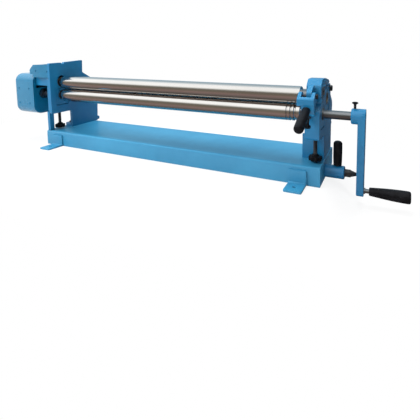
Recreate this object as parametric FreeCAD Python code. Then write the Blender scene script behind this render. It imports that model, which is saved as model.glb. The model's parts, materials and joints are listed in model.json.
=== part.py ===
import FreeCAD, Part
import math
import os

# Slip roll machine: three steel rolls between two cast frames on a folded steel base.
# Millimetres. X runs along the rolls towards the crank, Y to the rear, Z up.
# The origin is on the bench plane, midway between the four foot bolt holes.

# rolls
roll_length = 1300.0
roll_radius = 34.0
nip_gap = 1.5
journal_radius = 21.0
roll_shift = 5.0              # the roll bodies sit this much nearer the crank end
rear_roll_back = 87.0
rear_roll_up = 48.0
rear_slot_angle = 41.0        # the rear blocks slide down to the rear at this slope
roll_end_round = 2.0
groove_radii = (3.0, 4.0, 5.0)
groove_pitch = 16.0
groove_end_margin = 21.0      # last groove to the end of the roll body
centre_hole_radius = 4.0
centre_hole_depth = 9.0

# base and feet
base_overhang = 3.5           # end of the base beyond the crank side frame
base_width = 292.0
base_height = 77.0
base_sheet = 6.0
base_bend = 10.0
foot_inset = 85.0             # bolt hole to the end of the base
foot_width = 68.0
foot_reach = 87.0
foot_height = 58.0
foot_plate = 8.0
foot_hole_radius = 7.0
foot_hole_out = 48.0          # bolt hole to the face of the base
foot_round = 6.0

# frames
front_axis_in = 57.5          # front roll axis to the front face of the base
front_axis_z = 269.5
frame_thickness = 54.0
right_end_gap = 28.5          # roll body to the crank side frame
left_end_gap = 30.0           # roll body to the gear side frame
nose_front = 70.0             # frame front, forward of the front roll axis
nose_top = 22.0               # nose front's upper corner, above the front roll axis
nose_bottom = 90.0            # nose underside, below the front roll axis
leg_front = 36.0
leg_rear = 203.0
leg_web = 30.0
leg_flange = 12.0
leg_flange_width = 86.0
frame_foot = 16.0
rear_ring_radius = 50.0       # round wall about the rear bearing
rear_boss_radius = 19.0
rear_boss_start = 120.0       # down the slope from the rear roll axis
rear_boss_end = 172.0
left_plate = 16.0
left_foot = 20.0
left_front = 72.0
left_nose_bottom = 97.0
left_leg_front = 56.0
left_leg_rear = 241.0
left_top = 176.0              # top of the gear side frame, above the front roll axis
left_screw_out = 21.0         # front screw line to the outer face of the gear side frame
left_rear_screw_out = 12.0    # rear screw line, clear of the plate
post_width = 18.0
post_depth = 26.0
bolt_radius = 6.0
bolt_hole_radius = 6.4
bolt_across = 19.0
bolt_head = 8.0
bolt_nut = 10.0

# bearing blocks and their screws
block_radius = 38.0
block_drop = 52.0
bush_wall = 4.0
block_clearance = 0.8
running_clearance = 0.05
seat_clearance = 0.3
front_lift = 0.5
front_fall = 4.0
rear_lift = 2.5
rear_fall = 14.0
screw_radius = 8.0
nut_across = 24.0
nut_height = 11.0
front_knob_radius = 26.0
front_knob_height = 26.0
front_knob_lobes = 8
front_knob_floor = 7.0        # knob underside to the base, at rest
rear_knob_radius = 23.0
rear_knob_height = 22.0
rear_knob_lobes = 6
knob_floor = 4.0              # material between a screw's end and the knob's face
rear_screw_reach = 208.0

# latch over the free end of the top roll
hinge_back = 148.0
hinge_up = 82.0
hinge_boss = 20.0
hinge_pin_radius = 6.0
hinge_head_across = 21.0
hinge_head = 11.0
hinge_nut_across = 19.0
hinge_nut = 10.0
knuckle_gap = 0.5
ear_thickness = 15.5
arch_top = 135.0
tongue_in = 8.5               # tongue and lug, from the inner face of the frame
tongue_width = 19.0
fork_pivot_front = 75.0
fork_pivot_up = 77.0
fork_reach = 58.0             # pivot to the inner face of the bridge
fork_bridge = 10.0
fork_cheek = 12.0
fork_gap = 1.5                # tongue to the outer cheek
fork_waist = 15.0             # the inner cheek steps in by this much below the pivot
fork_lug_room = 6.5           # the inner cheek's lower part passes beside the lug
fork_step = 24.0              # pivot down to that step
fork_back = 14.0              # cheeks, behind the pivot
fork_front = 39.0             # web's front, ahead of the pivot
fork_web = 10.0
fork_screw_lean = 29.0        # the clamp screw leans forward from the cheeks' line
fork_pin_radius = 5.0
fork_pin_across = 16.0
fork_pin_head = 7.0
latch_screw_radius = 6.0
latch_knob_radius = 12.5
latch_knob_height = 19.0
latch_knob_drop = 48.0        # screw tip to the latch knob
latch_nut_across = 18.0
latch_nut_height = 8.0
latch_nut_start = 22.0
latch_boss_radius = 11.0
half_block = 31.0             # steel half bearing, half its depth
half_block_up = 34.0          # its height above the parting
half_block_out = 3.0          # it stands this far out of the arm, towards the rolls
grip_swing = 69.0             # grip, ahead of the hanging fork
grip_drop = 31.0              # grip axis below the pivot
grip_in = 3.0                 # grip axis, inward of the tongue's middle
latch_grip_radius = 17.5
latch_grip_length = 126.0
latch_grip_start = 42.0
latch_stub_radius = 13.0
screw_tip_in = 6.0            # the clamp screw's tip, ahead of the pivot
screw_tip_up = 24.85          # and above the front roll axis, just under the lug's nose
lug_front = 80.0              # short enough for the stirrup to pass when the arm swings up
lug_top = 56.0
lug_in = 2.5                  # the lug is this much narrower than the tongue on each side

# crank
shaft_radius = 16.5
tail_radius = 17.0            # front roll beyond the gear side frame
crank_hub_radius = 29.0
crank_hub_length = 50.0
crank_hub_start = 103.0       # outer face of the frame to the hub
crank_throw = 277.0
crank_arm_thickness = 26.0
crank_tip_radius = 20.0
crank_pin_radius = 8.0
crank_grip_length = 138.0
crank_grip_start = 18.0
crank_grip_radius = 24.0
thumb_screw_in = 12.0
thumb_stem_radius = 5.0
thumb_head_radius = 14.0
thumb_head_height = 14.0
thumb_head_rise = 11.0

# side lever
lever_back = 45.0
lever_up = 34.0
lever_hub_radius = 25.5
lever_hub_length = 75.0
lever_grip_radius = 17.0
lever_grip_top = 158.0
lever_rod_radius = 7.0
lever_rod_out = 48.0          # rod to the end of the base
lever_stud_radius = 10.0
lever_washer_radius = 15.0
lever_washer = 4.0
lever_nut_across = 27.0
lever_nut = 18.0
lever_nose = 22.0

# gears and tail of the top roll
gear_teeth = 20
gear_module = 3.4
gear_width = 20.0
gear_thinning = 1.0           # taken off each tooth at the pitch circle
gear_root_depth = 1.45        # in modules
gear_hub_out = 12.0           # shaft end beyond the gears
pivot_out = 200.0             # start of the tail sleeve, outward of the roll body's end
pivot_pin_in = 8.5
gear_out = 212.0
quill_radius = 27.0
quill_block = 30.0
quill_bush = 40.0
quill_lift = 9.0              # free height over the sleeve in its window
pivot_pin_radius = 8.0
bracket_cheek = 10.0

# covers
cover_sheet = 3.0
cover_out = 182.0             # roll body's end to the inner side of the gear cover
cover_length = 160.0
cover_front = 62.0
cover_back = 120.0
cover_low = 111.0             # below the front roll axis
cover_high = 113.0            # above the front roll axis
cover_front_round = 44.0
cover_end_round = 20.0
hood_length = 159.0
hood_high = 168.0
hood_low = 97.0               # above the front roll axis
hood_corner = 30.0
carrier_back = 60.0
carrier_high = 78.0
cover_screw_radius = 5.0
cover_screw_head = 4.0
collar_radius = 26.0
collar_length = 16.0
collar_neck_radius = 21.0
collar_neck = 14.0

# derived places
front_axis_y = front_axis_in - base_width / 2
body_start = roll_shift - roll_length / 2
body_end = roll_shift + roll_length / 2
right_inner = body_end + right_end_gap
right_outer = right_inner + frame_thickness
half_base = right_outer + base_overhang
foot_bolt_x = half_base - foot_inset
left_inner = body_start - left_end_gap
left_outer = left_inner - frame_thickness
plate_outer = left_inner - left_plate
roll_spacing = 2 * roll_radius + nip_gap
top_z = front_axis_z + roll_spacing
incline = math.radians(rear_slot_angle)
bush_outer = journal_radius + running_clearance + bush_wall
right_middle = (right_inner + right_outer) / 2
left_middle = left_outer + left_screw_out
left_rear_middle = left_outer + left_rear_screw_out
pivot_x = body_start - pivot_out
pin_x = pivot_x + pivot_pin_in
gear_inner = body_start - gear_out
gear_outer = gear_inner - gear_width
tongue_low = right_inner + tongue_in
tongue_high = tongue_low + tongue_width
fork_middle = (tongue_low + tongue_high) / 2
fork_high = tongue_high + fork_gap + fork_cheek
fork_waist_low = tongue_low - fork_gap - fork_cheek
fork_low = fork_waist_low - fork_waist
hub_start = right_outer + crank_hub_start
hub_end = hub_start + crank_hub_length
arm_start = hub_end - crank_arm_thickness
cover_inner_x = body_start - cover_out
lever_x = half_base + lever_rod_out

os.makedirs("parts", exist_ok=True)
V = FreeCAD.Vector


def yz(back, up):
    """Place of a point given from the front roll axis."""
    return front_axis_y + back, front_axis_z + up


def box(x_low, x_high, y_low, y_high, z_low, z_high):
    return Part.makeBox(x_high - x_low, y_high - y_low, z_high - z_low, V(x_low, y_low, z_low))


def rod(radius, start, end):
    start, end = V(*start), V(*end)
    return Part.makeCylinder(radius, (end - start).Length, start, end - start)


def cone(radius_start, radius_end, start, end):
    start, end = V(*start), V(*end)
    return Part.makeCone(radius_start, radius_end, (end - start).Length, start, end - start)


def rounded_face(corners, place):
    """Flat face whose corners (u, v, radius) are rounded; place turns (u, v) into a point."""
    ends = []
    count = len(corners)
    for i, (u, v, radius) in enumerate(corners):
        here = V(u, v, 0)
        before = V(*corners[i - 1][:2], 0) - here
        after = V(*corners[(i + 1) % count][:2], 0) - here
        before.normalize()
        after.normalize()
        half = before.getAngle(after) / 2
        if radius == 0:
            ends.append((here, here, here))
            continue
        back_off = radius / math.tan(half)
        centre_way = before + after
        centre_way.normalize()
        middle = here + centre_way * (radius / math.sin(half) - radius)
        ends.append((here + before * back_off, middle, here + after * back_off))
    edges = []
    for i, (first, middle, last) in enumerate(ends):
        if (last - first).Length > 1e-6:
            arc = Part.Arc(place(first.x, first.y), place(middle.x, middle.y), place(last.x, last.y))
            edges.append(arc.toShape())
        following = ends[(i + 1) % count][0]
        if (following - last).Length > 1e-6:
            line = Part.LineSegment(place(last.x, last.y), place(following.x, following.y))
            edges.append(line.toShape())
    return Part.Face(Part.Wire(edges))


def slab(x_low, x_high, corners):
    """Plate across X with its outline given as (back, up, radius) from the front roll axis."""
    face = rounded_face(corners, lambda back, up: V(x_low, *yz(back, up)))
    return face.extrude(V(x_high - x_low, 0, 0))


def turned(profile, centre, direction):
    """Solid of revolution: profile holds (distance along, radius), from centre along direction."""
    points = [V(radius, 0, along) for along, radius in profile]
    points = [V(0, 0, profile[0][0])] + points + [V(0, 0, profile[-1][0])]
    kept = [points[0]]
    for point in points[1:]:
        if (point - kept[-1]).Length > 1e-6:
            kept.append(point)
    face = Part.Face(Part.makePolygon(kept + [kept[0]]))
    solid = face.revolve(V(0, 0, 0), V(0, 0, 1), 360)
    turn = FreeCAD.Rotation(V(0, 0, 1), V(*direction))
    solid.Placement = FreeCAD.Placement(V(*centre), turn)
    return solid


def hexagon(across, start, end):
    """Hexagonal prism from start to end."""
    start, end = V(*start), V(*end)
    corner = across / math.sqrt(3)
    turns = [k * math.pi / 3 for k in range(7)]
    points = [V(corner * math.cos(turn), corner * math.sin(turn), 0) for turn in turns]
    prism = Part.Face(Part.makePolygon(points)).extrude(V(0, 0, (end - start).Length))
    prism.Placement = FreeCAD.Placement(start, FreeCAD.Rotation(V(0, 0, 1), end - start))
    return prism


def lobed_knob(radius, height, lobes, start, direction):
    """Star knob with scooped sides and a stepped hub on its inner side."""
    scoop = radius * 0.3
    way = V(*direction)
    way.normalize()
    shoulder = height * 0.3
    body = turned([(0, radius * 0.48), (shoulder, radius * 0.52), (shoulder, radius - 2),
                   (shoulder * 1.27, radius), (height - 3, radius), (height, radius - 3)], start, direction)
    turn = FreeCAD.Rotation(V(0, 0, 1), way)
    for k in range(lobes):
        angle = 2 * math.pi * k / lobes
        side = V(math.cos(angle), math.sin(angle), 0) * (radius + scoop * 0.45)
        foot = V(*start) + turn.multVec(side) + way * shoulder
        body = body.cut(Part.makeCylinder(scoop, height, foot, way))
    return body


def fillet_where(solid, radius, chosen):
    edges = [edge for edge in solid.Edges if chosen(edge)]
    return solid.makeFillet(radius, edges)


def middle_of(edge):
    return edge.valueAt((edge.FirstParameter + edge.LastParameter) / 2)


def write(name, *solids):
    shape = solids[0] if len(solids) == 1 else Part.makeCompound(list(solids))
    loose = shape.Solids
    assert loose and all(solid.isValid() for solid in loose), name
    shape = loose[0] if len(loose) == 1 else Part.makeCompound(loose)
    shape.exportStep("parts/" + name + ".step")
    print(name, len(loose), round(sum(solid.Volume for solid in loose)))


def d_outline(grow, stretch_up, stretch_down):
    """Outline of a bearing block: a half round over a square foot, grown for its slot."""
    radius = block_radius + grow
    top = radius + stretch_up
    foot = -block_drop - stretch_down
    round_top = radius - 0.01
    return [(-radius, foot, 3), (radius, foot, 3), (radius, top, round_top), (-radius, top, round_top)]


def to_rear(solid):
    """Carry a solid from the front roll's bearing to the rear roll's sloping bearing."""
    moved = solid.copy()
    centre = V(0, front_axis_y, front_axis_z)
    moved.rotate(centre, V(1, 0, 0), 90 - rear_slot_angle)
    moved.translate(V(0, rear_roll_back, rear_roll_up))
    return moved


def along_rear(distance, x=0.0):
    """Point on the rear screw's line, measured down the slope from the rear roll axis."""
    back = rear_roll_back + distance * math.cos(incline)
    up = rear_roll_up - distance * math.sin(incline)
    return (x, *yz(back, up))


# base ---------------------------------------------------------------------------------------

def base_inside(x_low, x_high, z_low):
    """Space within the folded sheet, with the bends' inner radius along its top corners."""
    half_width = base_width / 2 - base_sheet
    inside = box(x_low, x_high, -half_width, half_width, z_low, base_height - base_sheet)
    top = lambda edge: middle_of(edge).z > base_height - base_sheet - 1 and abs(edge.tangentAt(0).x) > 0.9
    return fillet_where(inside, base_bend - base_sheet, top)


def make_base_ends():
    """Plates welded into the two ends of the folded channel."""
    y = front_axis_y + lever_back
    left = base_inside(-half_base, -half_base + base_sheet, 0)
    right = base_inside(half_base - base_sheet, half_base, 0)
    lever_hole = rod(lever_stud_radius, (half_base - 20, y, lever_up), (half_base + 5, y, lever_up))
    return [left, right.cut(lever_hole)]


def make_base():
    half_width = base_width / 2
    outer = box(-half_base, half_base, -half_width, half_width, 0, base_height)
    long_top = lambda edge: abs(middle_of(edge).x) < 1 and middle_of(edge).z > base_height - 1
    outer = fillet_where(outer, base_bend, long_top)
    base = outer.cut(base_inside(-half_base - 1, half_base + 1, -1))
    for x, y in frame_bolt_places():
        base = base.cut(rod(bolt_hole_radius, (x, y, base_height - 20), (x, y, base_height + 5)))
    return base


def frame_bolt_places():
    """Bolts that hold the two frames down on the base."""
    right_x = right_outer - leg_flange_width + 14
    left_x = (left_outer + plate_outer) / 2
    backs = ((right_x, leg_front + 26), (right_x, leg_rear - 18),
             (left_x, left_leg_front + 22), (left_x, left_leg_rear - 34))
    return [(x, front_axis_y + back) for x, back in backs]


def make_foot(side, face):
    """Angle bracket: side is the sign along X, face the sign along Y."""
    x = side * foot_bolt_x
    wall = face * base_width / 2
    out = face * (base_width / 2 + foot_reach)
    low, high = sorted((wall, wall + face * foot_plate))
    upright = box(x - foot_width / 2, x + foot_width / 2, low, high, 0, foot_height)
    low, high = sorted((wall, out))
    flat = box(x - foot_width / 2, x + foot_width / 2, low, high, 0, foot_plate)
    foot = upright.fuse(flat).removeSplitter()
    in_bend = lambda edge: (abs(middle_of(edge).y - wall - face * foot_plate) < 0.1
                            and abs(middle_of(edge).z - foot_plate) < 0.1)
    at_corner = lambda edge: (abs(abs(middle_of(edge).x - x) - foot_width / 2) < 0.1
                              and abs(middle_of(edge).y - out) < 0.1)
    foot = fillet_where(foot, foot_round, in_bend)
    foot = fillet_where(foot, foot_round, at_corner)
    hole_y = face * (base_width / 2 + foot_hole_out)
    return foot.cut(rod(foot_hole_radius, (x, hole_y, -1), (x, hole_y, foot_plate + 1)))


# frames -------------------------------------------------------------------------------------

def front_slot(x_low, x_high):
    return slab(x_low, x_high, d_outline(block_clearance, front_lift, front_fall))


def rear_slot(x_low, x_high):
    return to_rear(slab(x_low, x_high, d_outline(block_clearance, rear_lift, rear_fall)))


def screw_hole_front(x):
    y, z = yz(0, -block_drop - front_fall + 1)
    return rod(screw_radius + seat_clearance, (x, y, z), (x, y, z - 60))


def screw_hole_rear(x):
    return rod(screw_radius + seat_clearance, along_rear(block_drop + rear_fall - 1, x),
               along_rear(rear_boss_end + 18, x))


def rear_screw_boss(x):
    return rod(rear_boss_radius, along_rear(rear_boss_start, x), along_rear(rear_boss_end, x))


def make_right_frame():
    base_drop = base_height - front_axis_z
    parting = roll_spacing - seat_clearance
    head = slab(right_inner, right_outer, [
        (-nose_front, -nose_bottom, 14), (leg_front, -nose_bottom, 8), (leg_front, base_drop, 0),
        (leg_rear, base_drop, 0), (leg_rear, -84, 20), (228, 10, 26), (176, 50, 12),
        (150, 60, 0), (40, 60, 10), (33, parting, 0), (-33, parting, 0), (-34, 47, 4),
        (-nose_front, nose_top, 5)])
    y, z = yz(rear_roll_back, rear_roll_up)
    frame = head.fuse(rod(rear_ring_radius, (right_inner, y, z), (right_outer, y, z)))
    lug = slab(tongue_low + lug_in, tongue_high - lug_in, [
        (-lug_front, lug_top, 3), (-63, lug_top + 3, 12), (-50, parting, 0), (-20, parting, 0), (-20, 20, 0),
        (-nose_front + 1, 20, 0), (-nose_front + 1, nose_top + 2, 0), (-lug_front, nose_top + 20, 2)])
    frame = frame.fuse(lug)
    hinge_y, hinge_z = yz(hinge_back, hinge_up)
    ear_round = hinge_boss - 0.01
    for low in (right_inner, right_outer - ear_thickness):
        ear = slab(low, low + ear_thickness, [
            (hinge_back - 32, 60, 0), (hinge_back + 26, 52, 0),
            (hinge_back + hinge_boss, hinge_up + hinge_boss, ear_round),
            (hinge_back - hinge_boss, hinge_up + hinge_boss, ear_round)])
        frame = frame.fuse(ear)
    knuckle_room = rod(hinge_boss + 3, (right_inner + ear_thickness, hinge_y, hinge_z),
                       (right_outer - ear_thickness, hinge_y, hinge_z))
    frame = frame.cut(knuckle_room)
    pocket_front, pocket_rear = leg_front + leg_flange, leg_rear - leg_flange
    pocket_top, pocket_floor = -nose_bottom - 22, base_drop + frame_foot
    pocket = slab(right_inner - 1, right_outer - leg_web, [
        (pocket_front, pocket_top, 14), (pocket_rear, pocket_top, 14),
        (pocket_rear, pocket_floor, 8), (pocket_front, pocket_floor, 8)])
    frame = frame.cut(pocket)
    flange_low = right_outer - leg_flange_width
    flange = slab(flange_low, right_outer, [
        (leg_front, base_drop, 0), (leg_front + leg_flange, base_drop, 0),
        (leg_front + leg_flange, -nose_bottom - 4, 0), (leg_front, -nose_bottom - 4, 0)])
    foot = slab(flange_low, right_outer, [
        (leg_front, base_drop, 0), (leg_rear, base_drop, 0), (leg_rear, pocket_floor, 0),
        (leg_front, pocket_floor, 0)])
    frame = frame.fuse([flange, foot, rear_screw_boss(right_middle)])
    inside, outside = right_inner - 1, right_outer + 1
    frame = frame.cut([front_slot(inside, outside), rear_slot(inside, outside),
                       screw_hole_front(right_middle), screw_hole_rear(right_middle)])
    y, z = front_axis_y, top_z
    seat = rod(journal_radius + seat_clearance, (right_inner - 1, y, z), (right_outer + 1, y, z))
    pin = rod(hinge_pin_radius, (right_inner - 1, hinge_y, hinge_z), (right_outer + 1, hinge_y, hinge_z))
    frame = frame.cut([seat, pin])
    for x, y in frame_bolt_places()[:2]:
        above = base_height + frame_foot + 1
        frame = frame.cut(rod(bolt_hole_radius, (x, y, base_height - 1), (x, y, above)))
    return frame.removeSplitter()


def make_left_frame():
    base_drop = base_height - front_axis_z
    plate = slab(plate_outer, left_inner, [
        (-left_front, -left_nose_bottom, 10), (left_leg_front, -left_nose_bottom, 12),
        (left_leg_front, base_drop, 0), (left_leg_rear, base_drop, 0), (left_leg_rear + 5, -75, 30),
        (left_leg_rear - 1, 20, 20), (198, 79, 20), (142, 113, 8), (145, left_top + 7, 5),
        (22, left_top + 1, 2), (18, left_top - 7, 4), (6, left_top - 8, 4), (1, left_top, 2),
        (-left_front, left_top - 1, 6)])
    boss = slab(left_outer, plate_outer, [
        (-50, -nose_bottom, 10), (50, -nose_bottom, 10), (50, 106, 22), (-50, 106, 22)])
    y, z = yz(rear_roll_back, rear_roll_up)
    ring = rod(rear_ring_radius + 2, (left_outer, y, z), (plate_outer, y, z))
    sleeve_foot = 10 - rear_boss_end
    sleeve = to_rear(slab(left_outer + 4, plate_outer, [
        (-30, sleeve_foot, 8), (30, sleeve_foot, 8), (30, -20, 0), (-30, -20, 0)]))
    foot_rear, foot_top = left_leg_rear + 30, base_drop + left_foot
    foot = slab(left_outer, plate_outer, [
        (left_leg_front, base_drop, 0), (foot_rear, base_drop, 4), (foot_rear, foot_top, 5),
        (left_leg_front, foot_top, 5)])
    frame = plate.fuse([boss, ring, sleeve, foot, rear_screw_boss(left_rear_middle)])
    side = quill_radius + seat_clearance
    low, high = roll_spacing - side, roll_spacing + side + quill_lift
    window_round = side - 0.01
    window = slab(left_outer - 1, left_inner + 1, [
        (-side, low, window_round), (side, low, window_round), (side, high, window_round),
        (-side, high, window_round)])
    frame = frame.cut([front_slot(left_outer - 1, left_inner + 1), rear_slot(left_outer - 1, left_inner + 1),
                       screw_hole_front(left_middle), screw_hole_rear(left_rear_middle), window])
    for x, y in frame_bolt_places()[2:]:
        frame = frame.cut(rod(bolt_hole_radius, (x, y, base_height - 1), (x, y, base_height + left_foot + 1)))
    return frame.removeSplitter()


def make_front_post():
    """Flat bar that props the nose of the gear side frame over the base's front edge."""
    x = left_outer - 2
    y_low = front_axis_y - left_front + 15
    top = front_axis_z - nose_bottom
    return box(x, x + post_width, y_low, y_low + post_depth, base_height, top)


# bearing blocks and screws ------------------------------------------------------------------

def make_block(x_low, x_high):
    block = slab(x_low, x_high, d_outline(0, 0, 0))
    bore = rod(bush_outer, (x_low - 1, front_axis_y, front_axis_z), (x_high + 1, front_axis_y, front_axis_z))
    block = block.cut(bore)
    axis = V(0, front_axis_y, front_axis_z)
    edges = []
    for edge in block.Edges:
        middle = middle_of(edge)
        on_face = min(abs(middle.x - x_low), abs(middle.x - x_high)) < 0.01
        if on_face and (V(0, middle.y, middle.z) - axis).Length > bush_outer + 4:
            edges.append(edge)
    return block.makeChamfer(1.5, edges)


def make_bush(x_low, x_high):
    outer = rod(bush_outer, (x_low, front_axis_y, front_axis_z), (x_high, front_axis_y, front_axis_z))
    bore = rod(journal_radius + running_clearance, (x_low - 1, front_axis_y, front_axis_z),
               (x_high + 1, front_axis_y, front_axis_z))
    return outer.cut(bore)


def make_front_screw(x):
    y, top = yz(0, -block_drop - seat_clearance)
    low = base_height + front_knob_floor + knob_floor
    screw = rod(screw_radius, (x, y, low), (x, y, top))
    rims = [edge for edge in screw.Edges if edge.Closed and middle_of(edge).z > top - 0.1]
    return screw.makeChamfer(1.5, rims)


def make_front_knob(x):
    y = front_axis_y
    low = base_height + front_knob_floor
    high = low + front_knob_height
    knob = lobed_knob(front_knob_radius, front_knob_height, front_knob_lobes, (x, y, high), (0, 0, -1))
    return knob.cut(rod(screw_radius, (x, y, low + knob_floor), (x, y, high + 1)))


def make_rear_screw(x):
    start = along_rear(block_drop + seat_clearance, x)
    return rod(screw_radius, start, along_rear(rear_screw_reach - knob_floor, x))


def make_rear_knob(x):
    start = along_rear(rear_screw_reach - rear_knob_height, x)
    way = V(*along_rear(1)) - V(*along_rear(0))
    knob = lobed_knob(rear_knob_radius, rear_knob_height, rear_knob_lobes, start, tuple(way))
    hole_start = along_rear(rear_screw_reach - rear_knob_height - 1, x)
    return knob.cut(rod(screw_radius, hole_start, along_rear(rear_screw_reach - knob_floor, x)))


def make_lock_nuts():
    """Hexagon nuts that lock the four adjusting screws against the frames."""
    nuts = []
    hole = screw_radius + seat_clearance
    y, z = yz(0, -nose_bottom)
    for x in (right_middle, left_middle):
        nut = hexagon(nut_across, (x, y, z), (x, y, z - nut_height))
        nuts.append(nut.cut(rod(hole, (x, y, z + 1), (x, y, z - nut_height - 1))))
    for x in (right_middle, left_rear_middle):
        start, end = along_rear(rear_boss_end, x), along_rear(rear_boss_end + nut_height, x)
        nut = hexagon(nut_across, start, end)
        nuts.append(nut.cut(rod(hole, along_rear(rear_boss_end - 1, x), along_rear(rear_boss_end + 20, x))))
    return nuts


# rolls --------------------------------------------------------------------------------------

def make_roll(y, z, sections, grooved):
    """Turned roll: sections are (x from, x to, radius); the last end face has a centre hole."""
    roll = None
    for low, high, radius in sections:
        step = rod(radius, (low, y, z), (high, y, z))
        roll = step if roll is None else roll.fuse(step)
    roll = roll.removeSplitter()
    circles = [edge for edge in roll.Edges if isinstance(edge.Curve, Part.Circle)]
    rims = [edge for edge in circles if abs(edge.Curve.Radius - roll_radius) < 0.01]
    roll = roll.makeChamfer(roll_end_round, rims)
    if grooved:
        for k, radius in enumerate(reversed(groove_radii)):
            x = body_end - groove_end_margin - k * groove_pitch
            ring = Part.makeTorus(roll_radius, radius, V(x, y, z), V(1, 0, 0))
            roll = roll.cut(ring)
    low = min(section[0] for section in sections)
    high = max(section[1] for section in sections)
    for end, way in ((low, 1), (high, -1)):
        hole = cone(centre_hole_radius, 0.5, (end, y, z), (end + way * centre_hole_depth, y, z))
        roll = roll.cut(hole)
    return roll


def make_front_roll():
    sections = [(gear_outer - gear_hub_out, left_outer - 3, tail_radius),
                (left_outer - 3, body_start, journal_radius), (body_start, body_end, roll_radius),
                (body_end, right_outer + 4, journal_radius), (right_outer + 4, hub_end - 4, shaft_radius)]
    return make_roll(front_axis_y, front_axis_z, sections, True)


def make_shaft_collar():
    """Collar on the front roll's tail, just outside the gear cover."""
    y, z = front_axis_y, front_axis_z
    low = cover_inner_x + 3
    collar = rod(collar_radius, (low, y, z), (low + collar_length, y, z))
    collar = collar.fuse(rod(collar_neck_radius, (low - collar_neck, y, z), (low, y, z)))
    return collar.cut(rod(tail_radius, (low - collar_neck - 1, y, z), (low + collar_length + 1, y, z)))


def make_rear_roll():
    y, z = yz(rear_roll_back, rear_roll_up)
    sections = [(left_outer - 2, body_start, journal_radius), (body_start, body_end, roll_radius),
                (body_end, right_outer - 5, journal_radius)]
    return make_roll(y, z, sections, True)


def make_top_roll():
    sections = [(gear_outer - gear_hub_out, body_start, journal_radius), (body_start, body_end, roll_radius),
                (body_end, right_outer - 3, journal_radius)]
    return make_roll(front_axis_y, top_z, sections, False)


def make_gear(z, tooth_up, bore):
    """Spur gear about X with curved flanks; tooth_up turns one tooth to that angle in degrees."""
    pitch = gear_module * gear_teeth / 2
    tip = pitch + gear_module
    root = pitch - gear_root_depth * gear_module
    half_pitch = math.pi / (2 * gear_teeth) - gear_thinning / (2 * pitch)
    half_root = half_pitch + 0.052
    half_tip = half_pitch - 0.045
    half_mid = half_pitch + 0.004
    edges = []
    step = 2 * math.pi / gear_teeth

    def place(radius, angle):
        return V(gear_outer, front_axis_y + radius * math.cos(angle), z + radius * math.sin(angle))

    for k in range(gear_teeth):
        middle = math.radians(tooth_up) + k * step
        a, b = middle - half_root, middle - half_tip
        c, d = middle + half_tip, middle + half_root
        rising = Part.Arc(place(root, a), place(pitch, middle - half_mid), place(tip, b))
        crest = Part.Arc(place(tip, b), place(tip, middle), place(tip, c))
        falling = Part.Arc(place(tip, c), place(pitch, middle + half_mid), place(root, d))
        valley = Part.Arc(place(root, d), place(root, middle + step / 2), place(root, a + step))
        edges += [rising.toShape(), crest.toShape(), falling.toShape(), valley.toShape()]
    gear = Part.Face(Part.Wire(edges)).extrude(V(gear_width, 0, 0))
    return gear.cut(rod(bore, (gear_outer - 1, front_axis_y, z), (gear_inner + 1, front_axis_y, z)))


# tail of the top roll -----------------------------------------------------------------------

def make_quill():
    """Sleeve that carries the top roll's tail, with a square end for the tilt pins."""
    y, z = front_axis_y, top_z
    sleeve = rod(quill_radius, (pivot_x, y, z), (left_inner - 3, y, z))
    low, high = pin_x - 13.5, pin_x + 13.5
    end = box(low, high, y - quill_block, y + quill_block, z - quill_block, z + quill_block)
    end = fillet_where(end, 5, lambda edge: abs(middle_of(edge).x - pin_x) < 0.1)
    bore = rod(bush_outer, (pivot_x - 10, y, z), (left_inner, y, z))
    quill = sleeve.fuse(end).cut(bore)
    return quill.cut(rod(pivot_pin_radius, (pin_x, y - 80, z), (pin_x, y + 80, z)))


def make_quill_pins():
    y, z = front_axis_y, top_z
    inner = bush_outer + 1.0
    outer = quill_block + 1.0 + bracket_cheek
    pins = []
    for side in (-1, 1):
        pins.append(rod(pivot_pin_radius, (pin_x, y + side * inner, z), (pin_x, y + side * outer, z)))
    return pins


def make_quill_bushes():
    y, z = front_axis_y, top_z
    bushes = []
    for low in (pivot_x - 5, left_inner - quill_bush - 3):
        outer = rod(bush_outer, (low, y, z), (low + quill_bush, y, z))
        bore = rod(journal_radius + running_clearance, (low - 1, y, z), (low + quill_bush + 1, y, z))
        bushes.append(outer.cut(bore))
    return bushes


def make_tail_bracket():
    """Two cheeks and a bridge, bolted to the gear side frame, that hold the tilt pins."""
    y, z = front_axis_y, top_z
    reach = quill_block + 1.0
    low = pivot_x - 5
    step = cover_inner_x + 2
    corners = [(low, z - 19, 10), (left_outer, z - 19, 0), (left_outer, z + 54, 0), (step, z + 54, 6),
               (step, z + 30, 4), (low, z + 30, 12)]
    cheeks = []
    for side in (-1, 1):
        near = min(y + side * reach, y + side * (reach + bracket_cheek))
        face = rounded_face(corners, lambda u, v: V(u, near, v))
        cheeks.append(face.extrude(V(0, bracket_cheek, 0)))
    bridge = box(step + 8, left_outer, y - reach - 1, y + reach + 1, z + 44, z + 54)
    pins = rod(pivot_pin_radius + running_clearance, (pin_x, y - 90, z), (pin_x, y + 90, z))
    return cheeks[0].fuse([cheeks[1], bridge]).cut(pins).removeSplitter()


# covers -------------------------------------------------------------------------------------

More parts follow.
